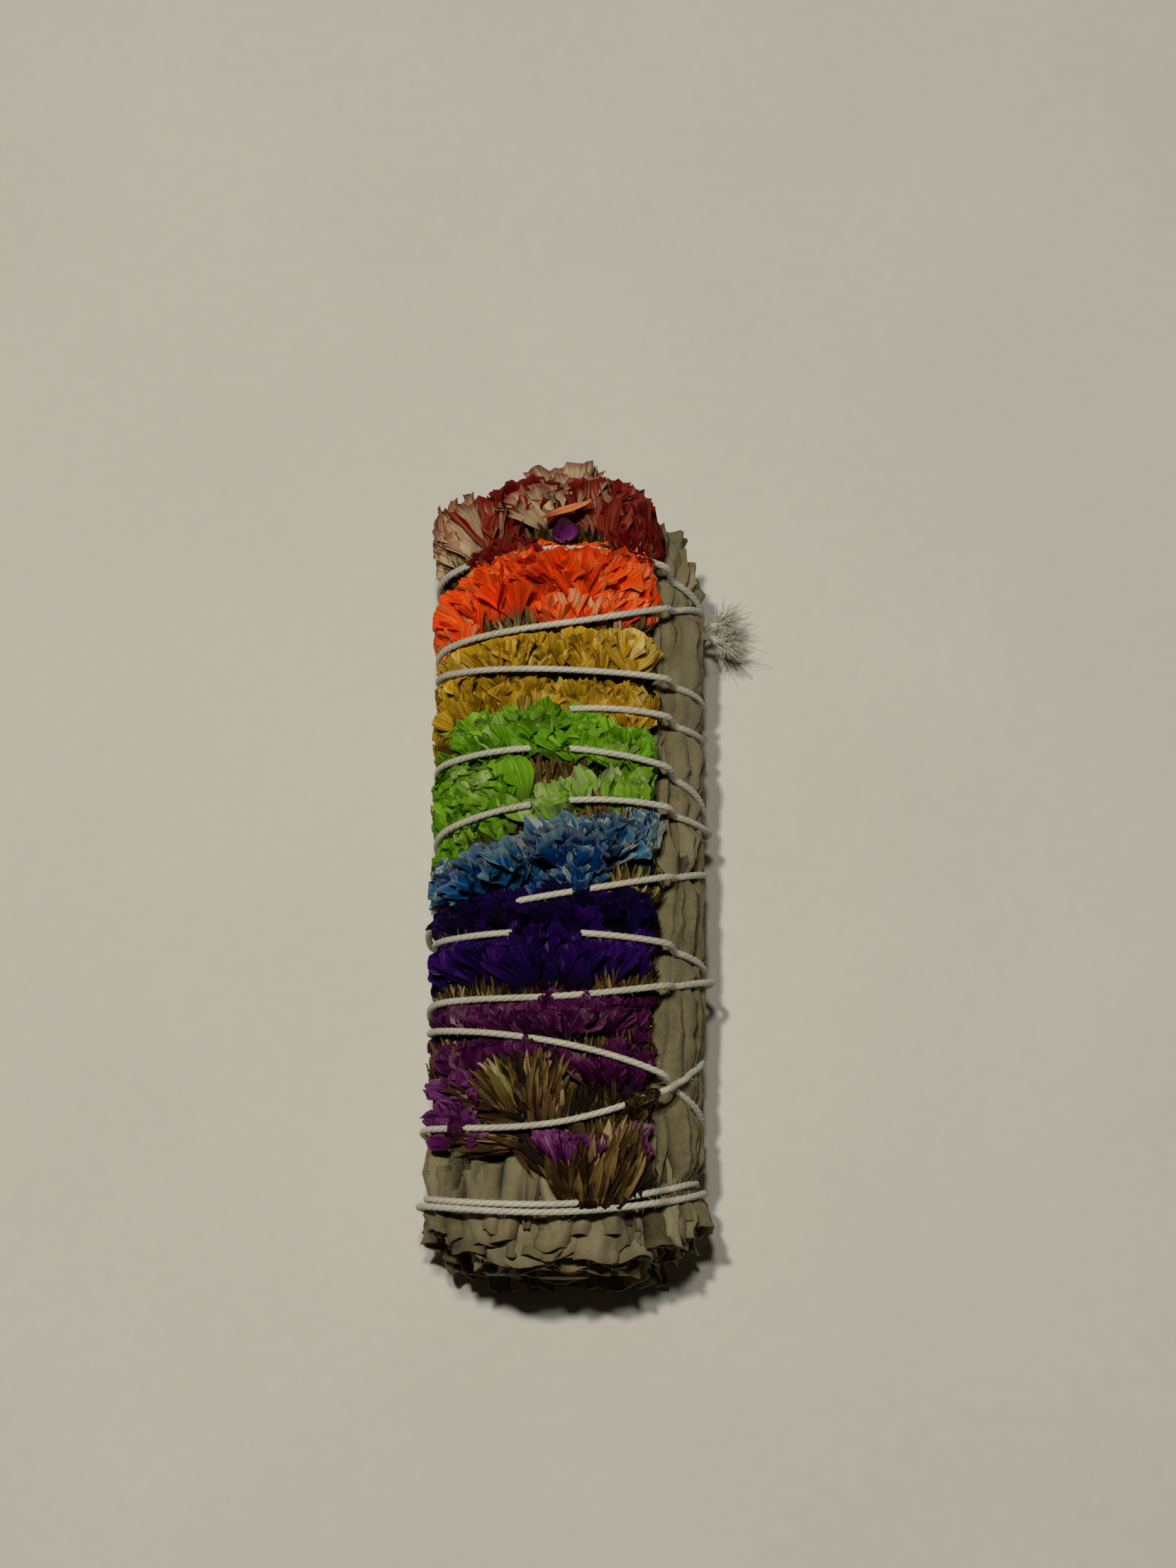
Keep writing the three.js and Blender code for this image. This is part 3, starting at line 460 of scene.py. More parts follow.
class Gather:
    """Copies of the forms on the flat map, gathered into one piece."""

    def __init__(self, book: PatternBook, seed: int) -> None:
        """Starts an empty piece with its own seeded draws."""
        self.book = book
        self.draw = np.random.default_rng(seed)
        self.parts: list[dict[str, np.ndarray]] = []
        self.count = 0

    def waves(self, x: np.ndarray, y: np.ndarray, pitch: float, reach: float) -> np.ndarray:
        """Soft folds at random over a sheet, about pitch apart and reach high."""
        total = np.zeros(len(x))
        for _ in range(4):
            way = self.draw.uniform(0.0, 2.0 * math.pi)
            length = pitch * self.draw.uniform(0.6, 1.6)
            phase = self.draw.uniform(0.0, 2.0 * math.pi)
            total += np.sin((x * math.cos(way) + y * math.sin(way)) * 2.0 * math.pi / length + phase)
        return reach * total / 2.2

    def add(
        self, pattern: Pattern, angle: np.ndarray, y: np.ndarray, height: np.ndarray,
        shade: Numbers, loose: bool = False,
    ) -> None:
        """Keeps one copy: its corners on the map, its shade and whether the string leaves it alone."""
        size = len(pattern.along)
        self.parts.append({
            "angle": angle, "y": y, "height": height,
            "faces": pattern.faces, "across": pattern.across, "along": pattern.along,
            "shade": np.full(size, shade), "loose": np.full(size, loose),
            "number": np.full(size, self.count % NUMBER_CYCLE),
        })
        self.count += 1

    def lay(self, pattern: Pattern, tuft: Tuft, angle: float, y: float, aim: float, lean: float) -> None:
        """Bends one copy of a pattern and lays it on the map.

        Args:
            pattern: the form to copy.
            tuft: what it belongs to.
            angle: of its root round the bundle.
            y: of its root along the bundle.
            aim: degrees that it points to the right of +Y.
            lean: degrees that it stands up from the bundle.
        """
        draw = self.draw
        length = 0.9 * tuft.length * draw.uniform(0.75, 1.12)
        width = length * tuft.width * draw.uniform(0.8, 1.25)
        across, along = pattern.across, pattern.along
        rim = 1.0 + tuft.jag * along ** 3 * self.waves(across, 0.0 * along, 0.45, 1.0)
        x = pattern.corners[:, 0] * width * rim
        far = pattern.corners[:, 1] * length * rim
        z = pattern.corners[:, 2] * width * draw.uniform(0.4, 0.9) * (1.0 if draw.random() < 0.3 else -1.0)
        z = z + tuft.curl * length * draw.uniform(-1.0, 1.0) * along ** 2
        folds = self.waves(across, 0.0 * along, 0.5, 1.0)
        z = z + folds * tuft.ruffle * length * along ** 1.5
        z = z + self.waves(x, far, 0.42 * length, tuft.crumple * length * 0.5) * (0.25 + 0.75 * along)
        roll = math.radians(draw.normal(0.0, 18.0))
        x, z = x * math.cos(roll) - z * math.sin(roll), x * math.sin(roll) + z * math.cos(roll)
        up, way = math.radians(lean), math.radians(aim)
        far, z = far * math.cos(up) - z * math.sin(up), far * math.sin(up) + z * math.cos(up)
        x, far = x * math.cos(way) + far * math.sin(way), far * math.cos(way) - x * math.sin(way)
        # The ruffle folds also set the tone: painted light on their ridges and painted shade in their
        # hollows.
        shade = tuft.shade + draw.normal(0.0, tuft.vary) + 1.6 * tuft.ruffle * folds * along
        here = angle - x / float(BUNDLE.rate(angle))
        self.add(pattern, here, y + far, tuft.height + z + draw.uniform(-0.3, 0.3), shade)

    def grow(self, tuft: Tuft) -> None:
        """Lays all the copies of a tuft, the low ones first."""
        pattern = self.book.forms[tuft.kind]
        count = max(round(tuft.count * tuft.kind.density), 1)
        for i in range(count):
            part = (i + 0.5) / count
            aside = self.draw.uniform(-1.0, 1.0)
            aim = tuft.aim + tuft.spread * aside + self.draw.normal(0.0, 4.0)
            angle = tuft.angle - tuft.scatter[0] * (aside + self.draw.normal(0.0, 0.3)) / float(
                BUNDLE.rate(tuft.angle)
            )
            y = tuft.y + tuft.scatter[1] * self.draw.uniform(-1.0, 1.0)
            self.lay(pattern, tuft, angle, y, aim, lerp(tuft.lean[0], tuft.lean[1], part))

    def confine(self, joined: dict[str, np.ndarray]) -> None:
        """Keeps flowers and husks to the upper side, lower towards its two edges, and darker deep down:
        painted shade where the low copies lie under the others.
        """
        angle, y = joined["angle"], joined["y"]
        edge = 3.0 * np.sin(0.83 * y + 1.0) + 2.2 * np.sin(1.9 * y + 2.0) + 1.4 * np.sin(4.3 * y)
        low, high = FLOWERS_FROM + edge, FLOWERS_TO + edge
        angle = np.where(angle < low, low - EDGE_DRIFT * np.tanh((low - angle) / EDGE_EASE), angle)
        angle = np.where(angle > high, high + EDGE_DRIFT * np.tanh((angle - high) / EDGE_EASE), angle)
        limit = 1.8 + 5.8 * smoothstep(angle, 44.0, 80.0) - 4.8 * smoothstep(angle, 136.0, 178.0)
        above = joined["height"] - limit + 1.0
        joined["height"] = np.where(above > 0.0, limit - 1.0 + np.tanh(above * 0.6) * 1.1, joined["height"])
        joined["angle"] = angle
        # Painted shade: copies that lie low, under the others, get a darker tone.
        joined["shade"] = joined["shade"] - 0.2 * (1.0 - smoothstep(joined["height"], 0.8, 3.4))

    def piece(
        self, name: str, material: bpy.types.Material, crease: float = 45.0, flowers: bool = True,
        hides: bool = True,
    ) -> bpy.types.Object:
        """Presses the copies under the string, wraps them round the bundle and makes the mesh.

        Args:
            name: of the piece.
            material: that it is made of.
            crease: the angle in degrees over which an edge stays sharp.
            flowers: whether it is of flowers or husks, which stay on the upper side.
            hides: whether it lies over the string where the string is hidden.

        Returns:
            The piece, at the origin.
        """
        joined = {
            key: np.concatenate([part[key] for part in self.parts])
            for key in ("angle", "y", "height", "across", "along", "shade", "loose", "number")
        }
        if flowers:
            self.confine(joined)
        pressed = WINDING.pressed(joined["angle"], joined["y"], joined["height"], hides)
        height = np.where(joined["loose"], joined["height"], pressed)
        points = BUNDLE.place(joined["angle"], joined["y"], height)
        points[:, 2] = np.maximum(points[:, 2], SURFACE_CLEARANCE)
        starts = np.cumsum([0] + [len(part["along"]) for part in self.parts[:-1]])
        faces = np.concatenate([part["faces"] + start for part, start in zip(self.parts, starts)])
        mapping = np.stack([joined["across"] + 3.0 * joined["number"], joined["along"]], 1)
        made = sheet_mesh(name, points, faces, mapping, joined, material)
        bpy.ops.object.select_all(action="DESELECT")
        made.select_set(True)
        bpy.context.view_layer.objects.active = made
        bpy.ops.object.shade_smooth_by_angle(angle=math.radians(crease))
        return made


def sheet_mesh(
    name: str, points: np.ndarray, faces: np.ndarray, mapping: np.ndarray,
    values: dict[str, np.ndarray], material: bpy.types.Material,
) -> bpy.types.Object:
    """Makes one mesh with its map and the values that its material reads.

    Args:
        name: of the piece.
        points: corners in millimetres.
        faces: four corners each.
        mapping: each corner's place on the surface map.
        values: holds along and shade for each corner.
        material: that it is made of.

    Returns:
        The new object, linked to the scene.
    """
    mesh = bpy.data.meshes.new(name)
    mesh.vertices.add(len(points))
    mesh.vertices.foreach_set("co", (points * MM).astype(np.float32).ravel())
    mesh.loops.add(faces.size)
    mesh.loops.foreach_set("vertex_index", faces.astype(np.int32).ravel())
    mesh.polygons.add(len(faces))
    mesh.polygons.foreach_set("loop_start", np.arange(0, faces.size, 4, dtype=np.int32))
    layer = mesh.uv_layers.new(name=MAP_NAME)
    layer.data.foreach_set("uv", mapping[faces.ravel()].astype(np.float32).ravel())
    for key in ("along", "shade"):
        mesh.attributes.new(key, "FLOAT", "POINT").data.foreach_set("value", values[key].astype(np.float32))
    mesh.update(calc_edges=True)
    mesh.validate()
    mesh.materials.append(material)
    made = bpy.data.objects.new(name, mesh)
    bpy.context.scene.collection.objects.link(made)
    return made


class Wire:
    """An output socket. Sums on it read as Python expressions and add Math nodes."""

    def __init__(self, board: "Board", socket: bpy.types.NodeSocket) -> None:
        """Wraps a socket of a board."""
        self.board = board
        self.socket = socket

    def _sum(self, operation: str, first: "Feed", second: "Feed") -> "Wire":
        """Adds a Math node."""
        return self.board.node("ShaderNodeMath", {"operation": operation}, {0: first, 1: second})

    def __add__(self, other: "Feed") -> "Wire":
        """self + other."""
        return self._sum("ADD", self, other)

    def __radd__(self, other: "Feed") -> "Wire":
        """other + self."""
        return self._sum("ADD", other, self)

    def __sub__(self, other: "Feed") -> "Wire":
        """self - other."""
        return self._sum("SUBTRACT", self, other)

    def __rsub__(self, other: "Feed") -> "Wire":
        """other - self."""
        return self._sum("SUBTRACT", other, self)

    def __mul__(self, other: "Feed") -> "Wire":
        """self * other."""
        return self._sum("MULTIPLY", self, other)

    def __rmul__(self, other: "Feed") -> "Wire":
        """other * self."""
        return self._sum("MULTIPLY", other, self)


Feed = Union[Wire, float, tuple]


class Board:
    """The node tree of one material."""

    def __init__(self, name: str) -> None:
        """Starts an empty material."""
        self.material = bpy.data.materials.new(name)
        self.material.use_nodes = True
        self.tree = self.material.node_tree
        self.tree.nodes.clear()

    def node(
        self, kind: str, settings: dict | None = None, feeds: dict | None = None, output: int | str = 0,
    ) -> Wire:
        """Makes any node.

        Args:
            kind: its type.
            settings: its own settings, with a ramp's stops as places and colours.
            feeds: the value or link of each socket.
            output: the socket that is wanted.

        Returns:
            That output.
        """
        made = self.tree.nodes.new(kind)
        for name, value in (settings or {}).items():
            if name == "stops":
                elements = made.color_ramp.elements
                while len(elements) < len(value):
                    elements.new(1.0)
                for element, (place, colour) in zip(elements, value):
                    element.position = place
                    element.color = (*colour, 1.0)
            else:
                setattr(made, name, value)
        for key, feed in (feeds or {}).items():
            if isinstance(feed, Wire):
                self.tree.links.new(feed.socket, made.inputs[key])
            else:
                made.inputs[key].default_value = feed
        return Wire(self, made.outputs[output])

    def attribute(self, name: str) -> Wire:
        """A value kept on the piece's corners."""
        return self.node("ShaderNodeAttribute", {"attribute_name": name}, output="Fac")

    def on_map(self, scale: tuple[float, float, float]) -> Wire:
        """The piece's own map, stretched."""
        surface = self.node("ShaderNodeUVMap", {"uv_map": MAP_NAME})
        return self.node("ShaderNodeMapping", None, {"Vector": surface, "Scale": scale})

    def in_space(self) -> Wire:
        """The piece's object coordinates."""
        return self.node("ShaderNodeTexCoord", output="Object")

    def noise(self, where: Wire, scale: float, detail: float = 3.0, roughness: float = 0.55) -> Wire:
        """Soft noise from 0 to 1."""
        feeds = {"Vector": where, "Scale": scale, "Detail": detail, "Roughness": roughness}
        return self.node("ShaderNodeTexNoise", None, feeds)

    def ease(self, value: Wire, low: float, high: float) -> Wire:
        """Eases from 0 at low to 1 at high."""
        feeds = {"Value": value, "From Min": low, "From Max": high}
        return self.node("ShaderNodeMapRange", {"interpolation_type": "SMOOTHSTEP"}, feeds)

    def ramp(self, value: Wire, stops: tuple) -> Wire:
        """A colour read off a ramp."""
        return self.node("ShaderNodeValToRGB", {"stops": stops}, {"Fac": value})

    def mix(self, share: Feed, first: Feed, second: Feed, blend: str = "MIX") -> Wire:
        """Mixes two colours."""
        pair = [(*c, 1.0) if isinstance(c, tuple) and len(c) == 3 else c for c in (first, second)]
        settings = {"data_type": "RGBA", "blend_type": blend}
        return self.node("ShaderNodeMix", settings, {0: share, 6: pair[0], 7: pair[1]}, output=2)

    def bump(self, height: Wire, strength: float, distance: float) -> Wire:
        """Relief from a height."""
        return self.node(
            "ShaderNodeBump", None, {"Strength": strength, "Distance": distance, "Height": height}
        )

    def surface(self, feeds: dict) -> bpy.types.Material:
        """Ends the tree in a shader with these sockets, and gives the material."""
        shader = self.node("ShaderNodeBsdfPrincipled", None, feeds)
        self.node_out(shader)
        return self.material

    def node_out(self, shader: Wire) -> None:
        """Links a shader to the material's output."""
        output = self.tree.nodes.new("ShaderNodeOutputMaterial")
        self.tree.links.new(shader.socket, output.inputs["Surface"])


@dataclass(frozen=True)
class PetalFinish:
    """Papery dyed calyx: veined, paler or darker from petal to petal, with its own rim colour, and painted
    shade towards its root.
    """

    name: str
    stops: tuple
    rim: Colour
    # root: the dark colour towards each petal's root, painted shade where the petals lie deep between the
    # others.
    root: Colour
    rim_share: float = 0.4
    streak: float = 0.5
    fade: float = 0.2

    def material(self) -> bpy.types.Material:
        """Builds the material."""
        board = Board(self.name)
        shade, along = board.attribute("shade"), board.attribute("along")
        veins = board.noise(board.on_map((7.0, 0.9, 1.0)), 1.0, 4.0, 0.6)
        fine = board.noise(board.on_map((26.0, 3.0, 1.0)), 1.0, 2.0)
        patch = board.noise(board.in_space(), 420.0, 2.0)
        # Fine pleat lines: partly the petals' own streaks, partly painted shade in the pleat hollows and
        # painted light on their ridges; they also feed the relief.
        pleats = board.ease(board.noise(board.on_map((16.0, 0.5, 1.0)), 1.0, 1.0), 0.36, 0.62)
        tone = shade + self.streak * (veins - 0.5) + 0.16 * (fine - 0.5) + 0.3 * (patch - 0.5)
        tone = tone + self.fade * (along - 0.6) + 0.3 * (pleats - 0.6)
        colour = board.ramp(tone, self.stops)
        rim = board.ease(along + 0.16 * (fine - 0.5), 0.84, 1.0) * self.rim_share
        colour = board.mix(rim, colour, self.rim)
        # Painted shade: the colour turns to the dark root colour towards the root, deep between the petals.
        colour = board.mix((1.0 - board.ease(along, 0.0, 0.5)) * 0.85, colour, self.root)
        relief = board.bump(veins + 0.5 * fine + pleats, 0.5, 0.0003)
        feeds = {"Base Color": colour, "Roughness": 0.8, "Normal": relief, "Specular IOR Level": 0.08}
        return board.surface(feeds)


@dataclass(frozen=True)
class HuskFinish:
    """Dry brown bracts and calyx tubes, ribbed along their length."""

    name: str
    stops: tuple

    def material(self) -> bpy.types.Material:
        """Builds the material."""
        board = Board(self.name)
        shade, along = board.attribute("shade"), board.attribute("along")
        ribs = board.noise(board.on_map((9.0, 1.0, 1.0)), 1.0, 3.0, 0.6)
        patch = board.noise(board.in_space(), 500.0, 3.0)
        tone = shade + 0.55 * (ribs - 0.5) + 0.35 * (patch - 0.5) + 0.22 * (along - 0.5)
        colour = board.ramp(tone, self.stops)
        green = board.ease(board.noise(board.in_space(), 110.0, 2.0), 0.46, 0.62)
        colour = board.mix(green * 0.8, colour, board.mix(1.0, colour, (0.72, 0.98, 0.5), "MULTIPLY"))
        relief = board.bump(ribs, 0.4, 0.0002)
        feeds = {"Base Color": colour, "Roughness": 0.75, "Normal": relief, "Specular IOR Level": 0.15}
        return board.surface(feeds)


@dataclass(frozen=True)
class SageFinish:
    """Felted grey-green leaf, with a pebbled face, dusty patches and browned torn edges."""

    name: str
    stops: tuple
    edge: Colour

    def material(self) -> bpy.types.Material:
        """Builds the material."""
        board = Board(self.name)
        shade, along = board.attribute("shade"), board.attribute("along")
        space = board.in_space()
        patch = board.noise(space, 260.0, 3.0)
        pebble = board.noise(space, 2100.0, 3.0, 0.65)
        felt = board.noise(space, 7000.0, 2.0)
        lines = board.noise(board.on_map((5.0, 1.6, 1.0)), 1.0, 4.0, 0.6)
        tone = shade + 0.6 * (patch - 0.5) + 0.3 * (pebble - 0.5)
        tone = tone + 0.15 * (lines - 0.5) + 0.12 * (felt - 0.5)
        colour = board.ramp(tone, self.stops)
        worn = board.ease(along + 0.3 * (patch - 0.5), 0.86, 1.02) * 0.55
        colour = board.mix(worn, colour, self.edge)
        relief = board.bump(pebble + 0.4 * felt + 0.8 * lines, 0.5, 0.0002)
        feeds = {
            "Base Color": colour, "Roughness": 0.9, "Normal": relief, "Specular IOR Level": 0.15,
            "Sheen Weight": 0.08, "Sheen Roughness": 0.6,
        }
        return board.surface(feeds)


@dataclass(frozen=True)
class CottonFinish:
    """Undyed twisted cotton, a little soiled."""

    name: str
    stops: tuple

    def material(self) -> bpy.types.Material:
        """Builds the material."""
        board = Board(self.name)
        shade = board.attribute("shade")
        fibre = board.noise(board.on_map((14.0, 2.4, 1.0)), 1.0, 3.0, 0.6)
        soil = board.noise(board.in_space(), 160.0, 3.0)
        tone = shade + 0.5 * (fibre - 0.5) + 0.5 * (soil - 0.5)
        colour = board.ramp(tone, self.stops)
        relief = board.bump(fibre, 0.5, 0.00012)
        feeds = {
            "Base Color": colour, "Roughness": 0.85, "Normal": relief, "Specular IOR Level": 0.2,
            "Sheen Weight": 0.2, "Sheen Roughness": 0.5,
        }
        return board.surface(feeds)


@dataclass(frozen=True)
class PaperFinish:
    """Pale mottled paper under the stick."""

    name: str
    pale: Colour = (0.77, 0.74, 0.635)
    dull: Colour = (0.71, 0.68, 0.58)

    def material(self) -> bpy.types.Material:
        """Builds the material."""
        board = Board(self.name)
        space = board.in_space()
        cloud = board.noise(space, 22.0, 3.0, 0.55)
        grain = board.noise(space, 420.0, 3.0, 0.6)
        tone = 0.6 * cloud + 0.4 * grain
        colour = board.mix(board.ease(tone, 0.2, 0.8), self.dull, self.pale)
        relief = board.bump(grain, 0.15, 0.0002)
        feeds = {"Base Color": colour, "Roughness": 0.9, "Normal": relief, "Specular IOR Level": 0.2}
        return board.surface(feeds)


HUSKS = HuskFinish(
    "dry_husk",
    (
        (0.0, (0.006, 0.002, 0.0005)), (0.3, (0.036, 0.014, 0.003)), (0.52, (0.115, 0.056, 0.011)),
        (0.75, (0.26, 0.155, 0.042)), (1.0, (0.55, 0.40, 0.20)),
    ),
)
SAGE = SageFinish(
    "sage_felt",
    (
        (0.0, (0.010, 0.007, 0.002)), (0.25, (0.10, 0.078, 0.030)), (0.5, (0.23, 0.188, 0.088)),
        (0.78, (0.33, 0.275, 0.145)), (1.0, (0.46, 0.39, 0.22)),
    ),
    (0.16, 0.10, 0.045),
)
COTTON = CottonFinish(
    "cotton_twist",
    (
        (0.0, (0.20, 0.18, 0.12)), (0.3, (0.46, 0.42, 0.31)), (0.6, (0.70, 0.65, 0.50)),
        (1.0, (0.88, 0.82, 0.66)),
    ),
)
FLOOR = PaperFinish("pale_paper")


@dataclass(frozen=True)
class Spray:
    """One spray of dyed statice: its florets and the dry husks below them."""

    name: str
    finish: PetalFinish
    florets: tuple[Tuft, ...]
    husks: tuple[Tuft, ...]
    seed: int
    husks_hide: bool = False

    def build(self, book: PatternBook) -> list[bpy.types.Object]:
        """Builds the two pieces of the spray.

        Args:
            book: the forms to copy.

        Returns:
            The florets and the husks.
        """
        florets = Gather(book, self.seed)
        for tuft in self.florets:
            florets.grow(tuft)
        husks = Gather(book, self.seed + 500)
        for tuft in self.husks:
            husks.grow(tuft)
        made = florets.piece(f"{self.name}_petals", self.finish.material())
        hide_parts(f"{self.name}_florets")
        under = husks.piece(f"{self.name}_husks", HUSKS.material(), hides=self.husks_hide)
        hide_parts(f"{self.name}_bracts")
        return [made, under]


def husk(
    angle: float, y: float, length: float, aim: float = 0.0, count: int = 16, shade: float = 0.45,
    spread: float = 14.0, scatter: tuple[float, float] = (3.0, 1.2),
    lean: tuple[float, float] = (4.0, 22.0), width: float = 1.0, height: float = 1.0,
) -> Tuft:
    """A tuft of dry husks.

    Args:
        angle: of its middle round the bundle.
        y: of its middle along the bundle.
        length: of a husk.
        aim: degrees to the right of +Y.
        count: of husks.
        shade: from 0 dark to 1 straw.
        spread: of their aims.
        scatter: of their roots, round and along the bundle.
        lean: the lowest and highest.
        width: against the usual.
        height: of their roots.

    Returns:
        The tuft.
    """
    return Tuft(
        angle, y, length, aim, count, shade, Kind.HUSK, width, spread, lean, height, scatter,
        curl=0.06, crumple=0.08, vary=0.2, jag=0.0, ruffle=0.0,
    )


def bed(y: float, shade: float = 0.3, first: float = 52.0, last: float = 176.0) -> tuple[Tuft, ...]:
    """Low husks under a whole row of florets, from angle first to last, dark partly from the husks' own
    brown and partly as painted shade under the florets.
    """
    return tuple(
        husk(angle, y, 5.4, 0.0, 13, shade, 20.0, (2.2, 2.2), (2.0, 16.0), 1.5, 0.5)
        for angle in np.arange(first, last + 1.0, 11.0)
    )


RED = PetalFinish(
    "red_paper",
    (
        (0.0, (0.10, 0.0006, 0.0006)), (0.25, (0.24, 0.008, 0.003)), (0.5, (0.34, 0.085, 0.04)),
        (0.75, (0.54, 0.32, 0.16)), (1.0, (0.66, 0.48, 0.26)),
    ),
    (0.24, 0.02, 0.012), (0.15, 0.07, 0.025), 0.7, 0.6, -0.25,
)
ORANGE = PetalFinish(
    "orange_paper",
    (
        (0.0, (0.34, 0.010, 0.0006)), (0.3, (0.92, 0.048, 0.0012)), (0.55, (1.0, 0.09, 0.002)),
        (0.8, (1.0, 0.24, 0.05)), (1.0, (0.84, 0.46, 0.22)),
    ),
    (0.95, 0.12, 0.012), (0.34, 0.10, 0.03), 0.4, 0.5, 0.2,
)
YELLOW = PetalFinish(
    "yellow_paper",
    (
        (0.0, (0.09, 0.045, 0.001)), (0.3, (0.32, 0.16, 0.002)), (0.55, (0.54, 0.28, 0.005)),
        (0.8, (0.68, 0.42, 0.04)), (1.0, (0.80, 0.62, 0.26)),
    ),
    (0.70, 0.44, 0.03), (0.18, 0.095, 0.006), 0.3, 0.7, 0.2,
)
GREEN = PetalFinish(
    "green_paper",
    (
        (0.0, (0.015, 0.065, 0.0006)), (0.3, (0.09, 0.27, 0.002)), (0.55, (0.18, 0.42, 0.006)),
        (0.8, (0.30, 0.48, 0.05)), (1.0, (0.48, 0.54, 0.22)),
    ),
    (0.22, 0.50, 0.02), (0.10, 0.12, 0.012), 0.4, 0.5, 0.2,
)
BLUE = PetalFinish(
    "blue_paper",
    (
        (0.0, (0.0006, 0.009, 0.065)), (0.3, (0.001, 0.042, 0.17)), (0.55, (0.004, 0.105, 0.24)),
        (0.8, (0.10, 0.21, 0.24)), (1.0, (0.40, 0.42, 0.34)),
    ),
    (0.34, 0.42, 0.38), (0.012, 0.045, 0.06), 0.3, 0.7, 0.15,
)
INDIGO = PetalFinish(
    "indigo_paper",
    (
        (0.0, (0.0006, 0.0001, 0.005)), (0.3, (0.003, 0.0002, 0.024)), (0.55, (0.016, 0.0006, 0.075)),
        (0.8, (0.045, 0.004, 0.11)), (1.0, (0.13, 0.07, 0.14)),
    ),
    (0.022, 0.001, 0.085), (0.008, 0.001, 0.008), 0.3, 0.5, 0.25,
)
VIOLET = PetalFinish(
    "violet_paper",
    (
        (0.0, (0.010, 0.0002, 0.008)), (0.3, (0.042, 0.0008, 0.028)), (0.55, (0.085, 0.004, 0.055)),
        (0.8, (0.16, 0.04, 0.095)), (1.0, (0.32, 0.19, 0.19)),
    ),
    (0.12, 0.015, 0.08), (0.03, 0.009, 0.008), 0.35, 0.6, 0.25,
)
LILAC = PetalFinish(
    "lilac_paper",
    (
        (0.0, (0.022, 0.0006, 0.018)), (0.3, (0.08, 0.004, 0.065)), (0.55, (0.17, 0.018, 0.13)),
        (0.8, (0.28, 0.085, 0.21)), (1.0, (0.46, 0.30, 0.34)),
    ),
    (0.26, 0.07, 0.19), (0.06, 0.015, 0.02), 0.4, 0.6, 0.25,
)

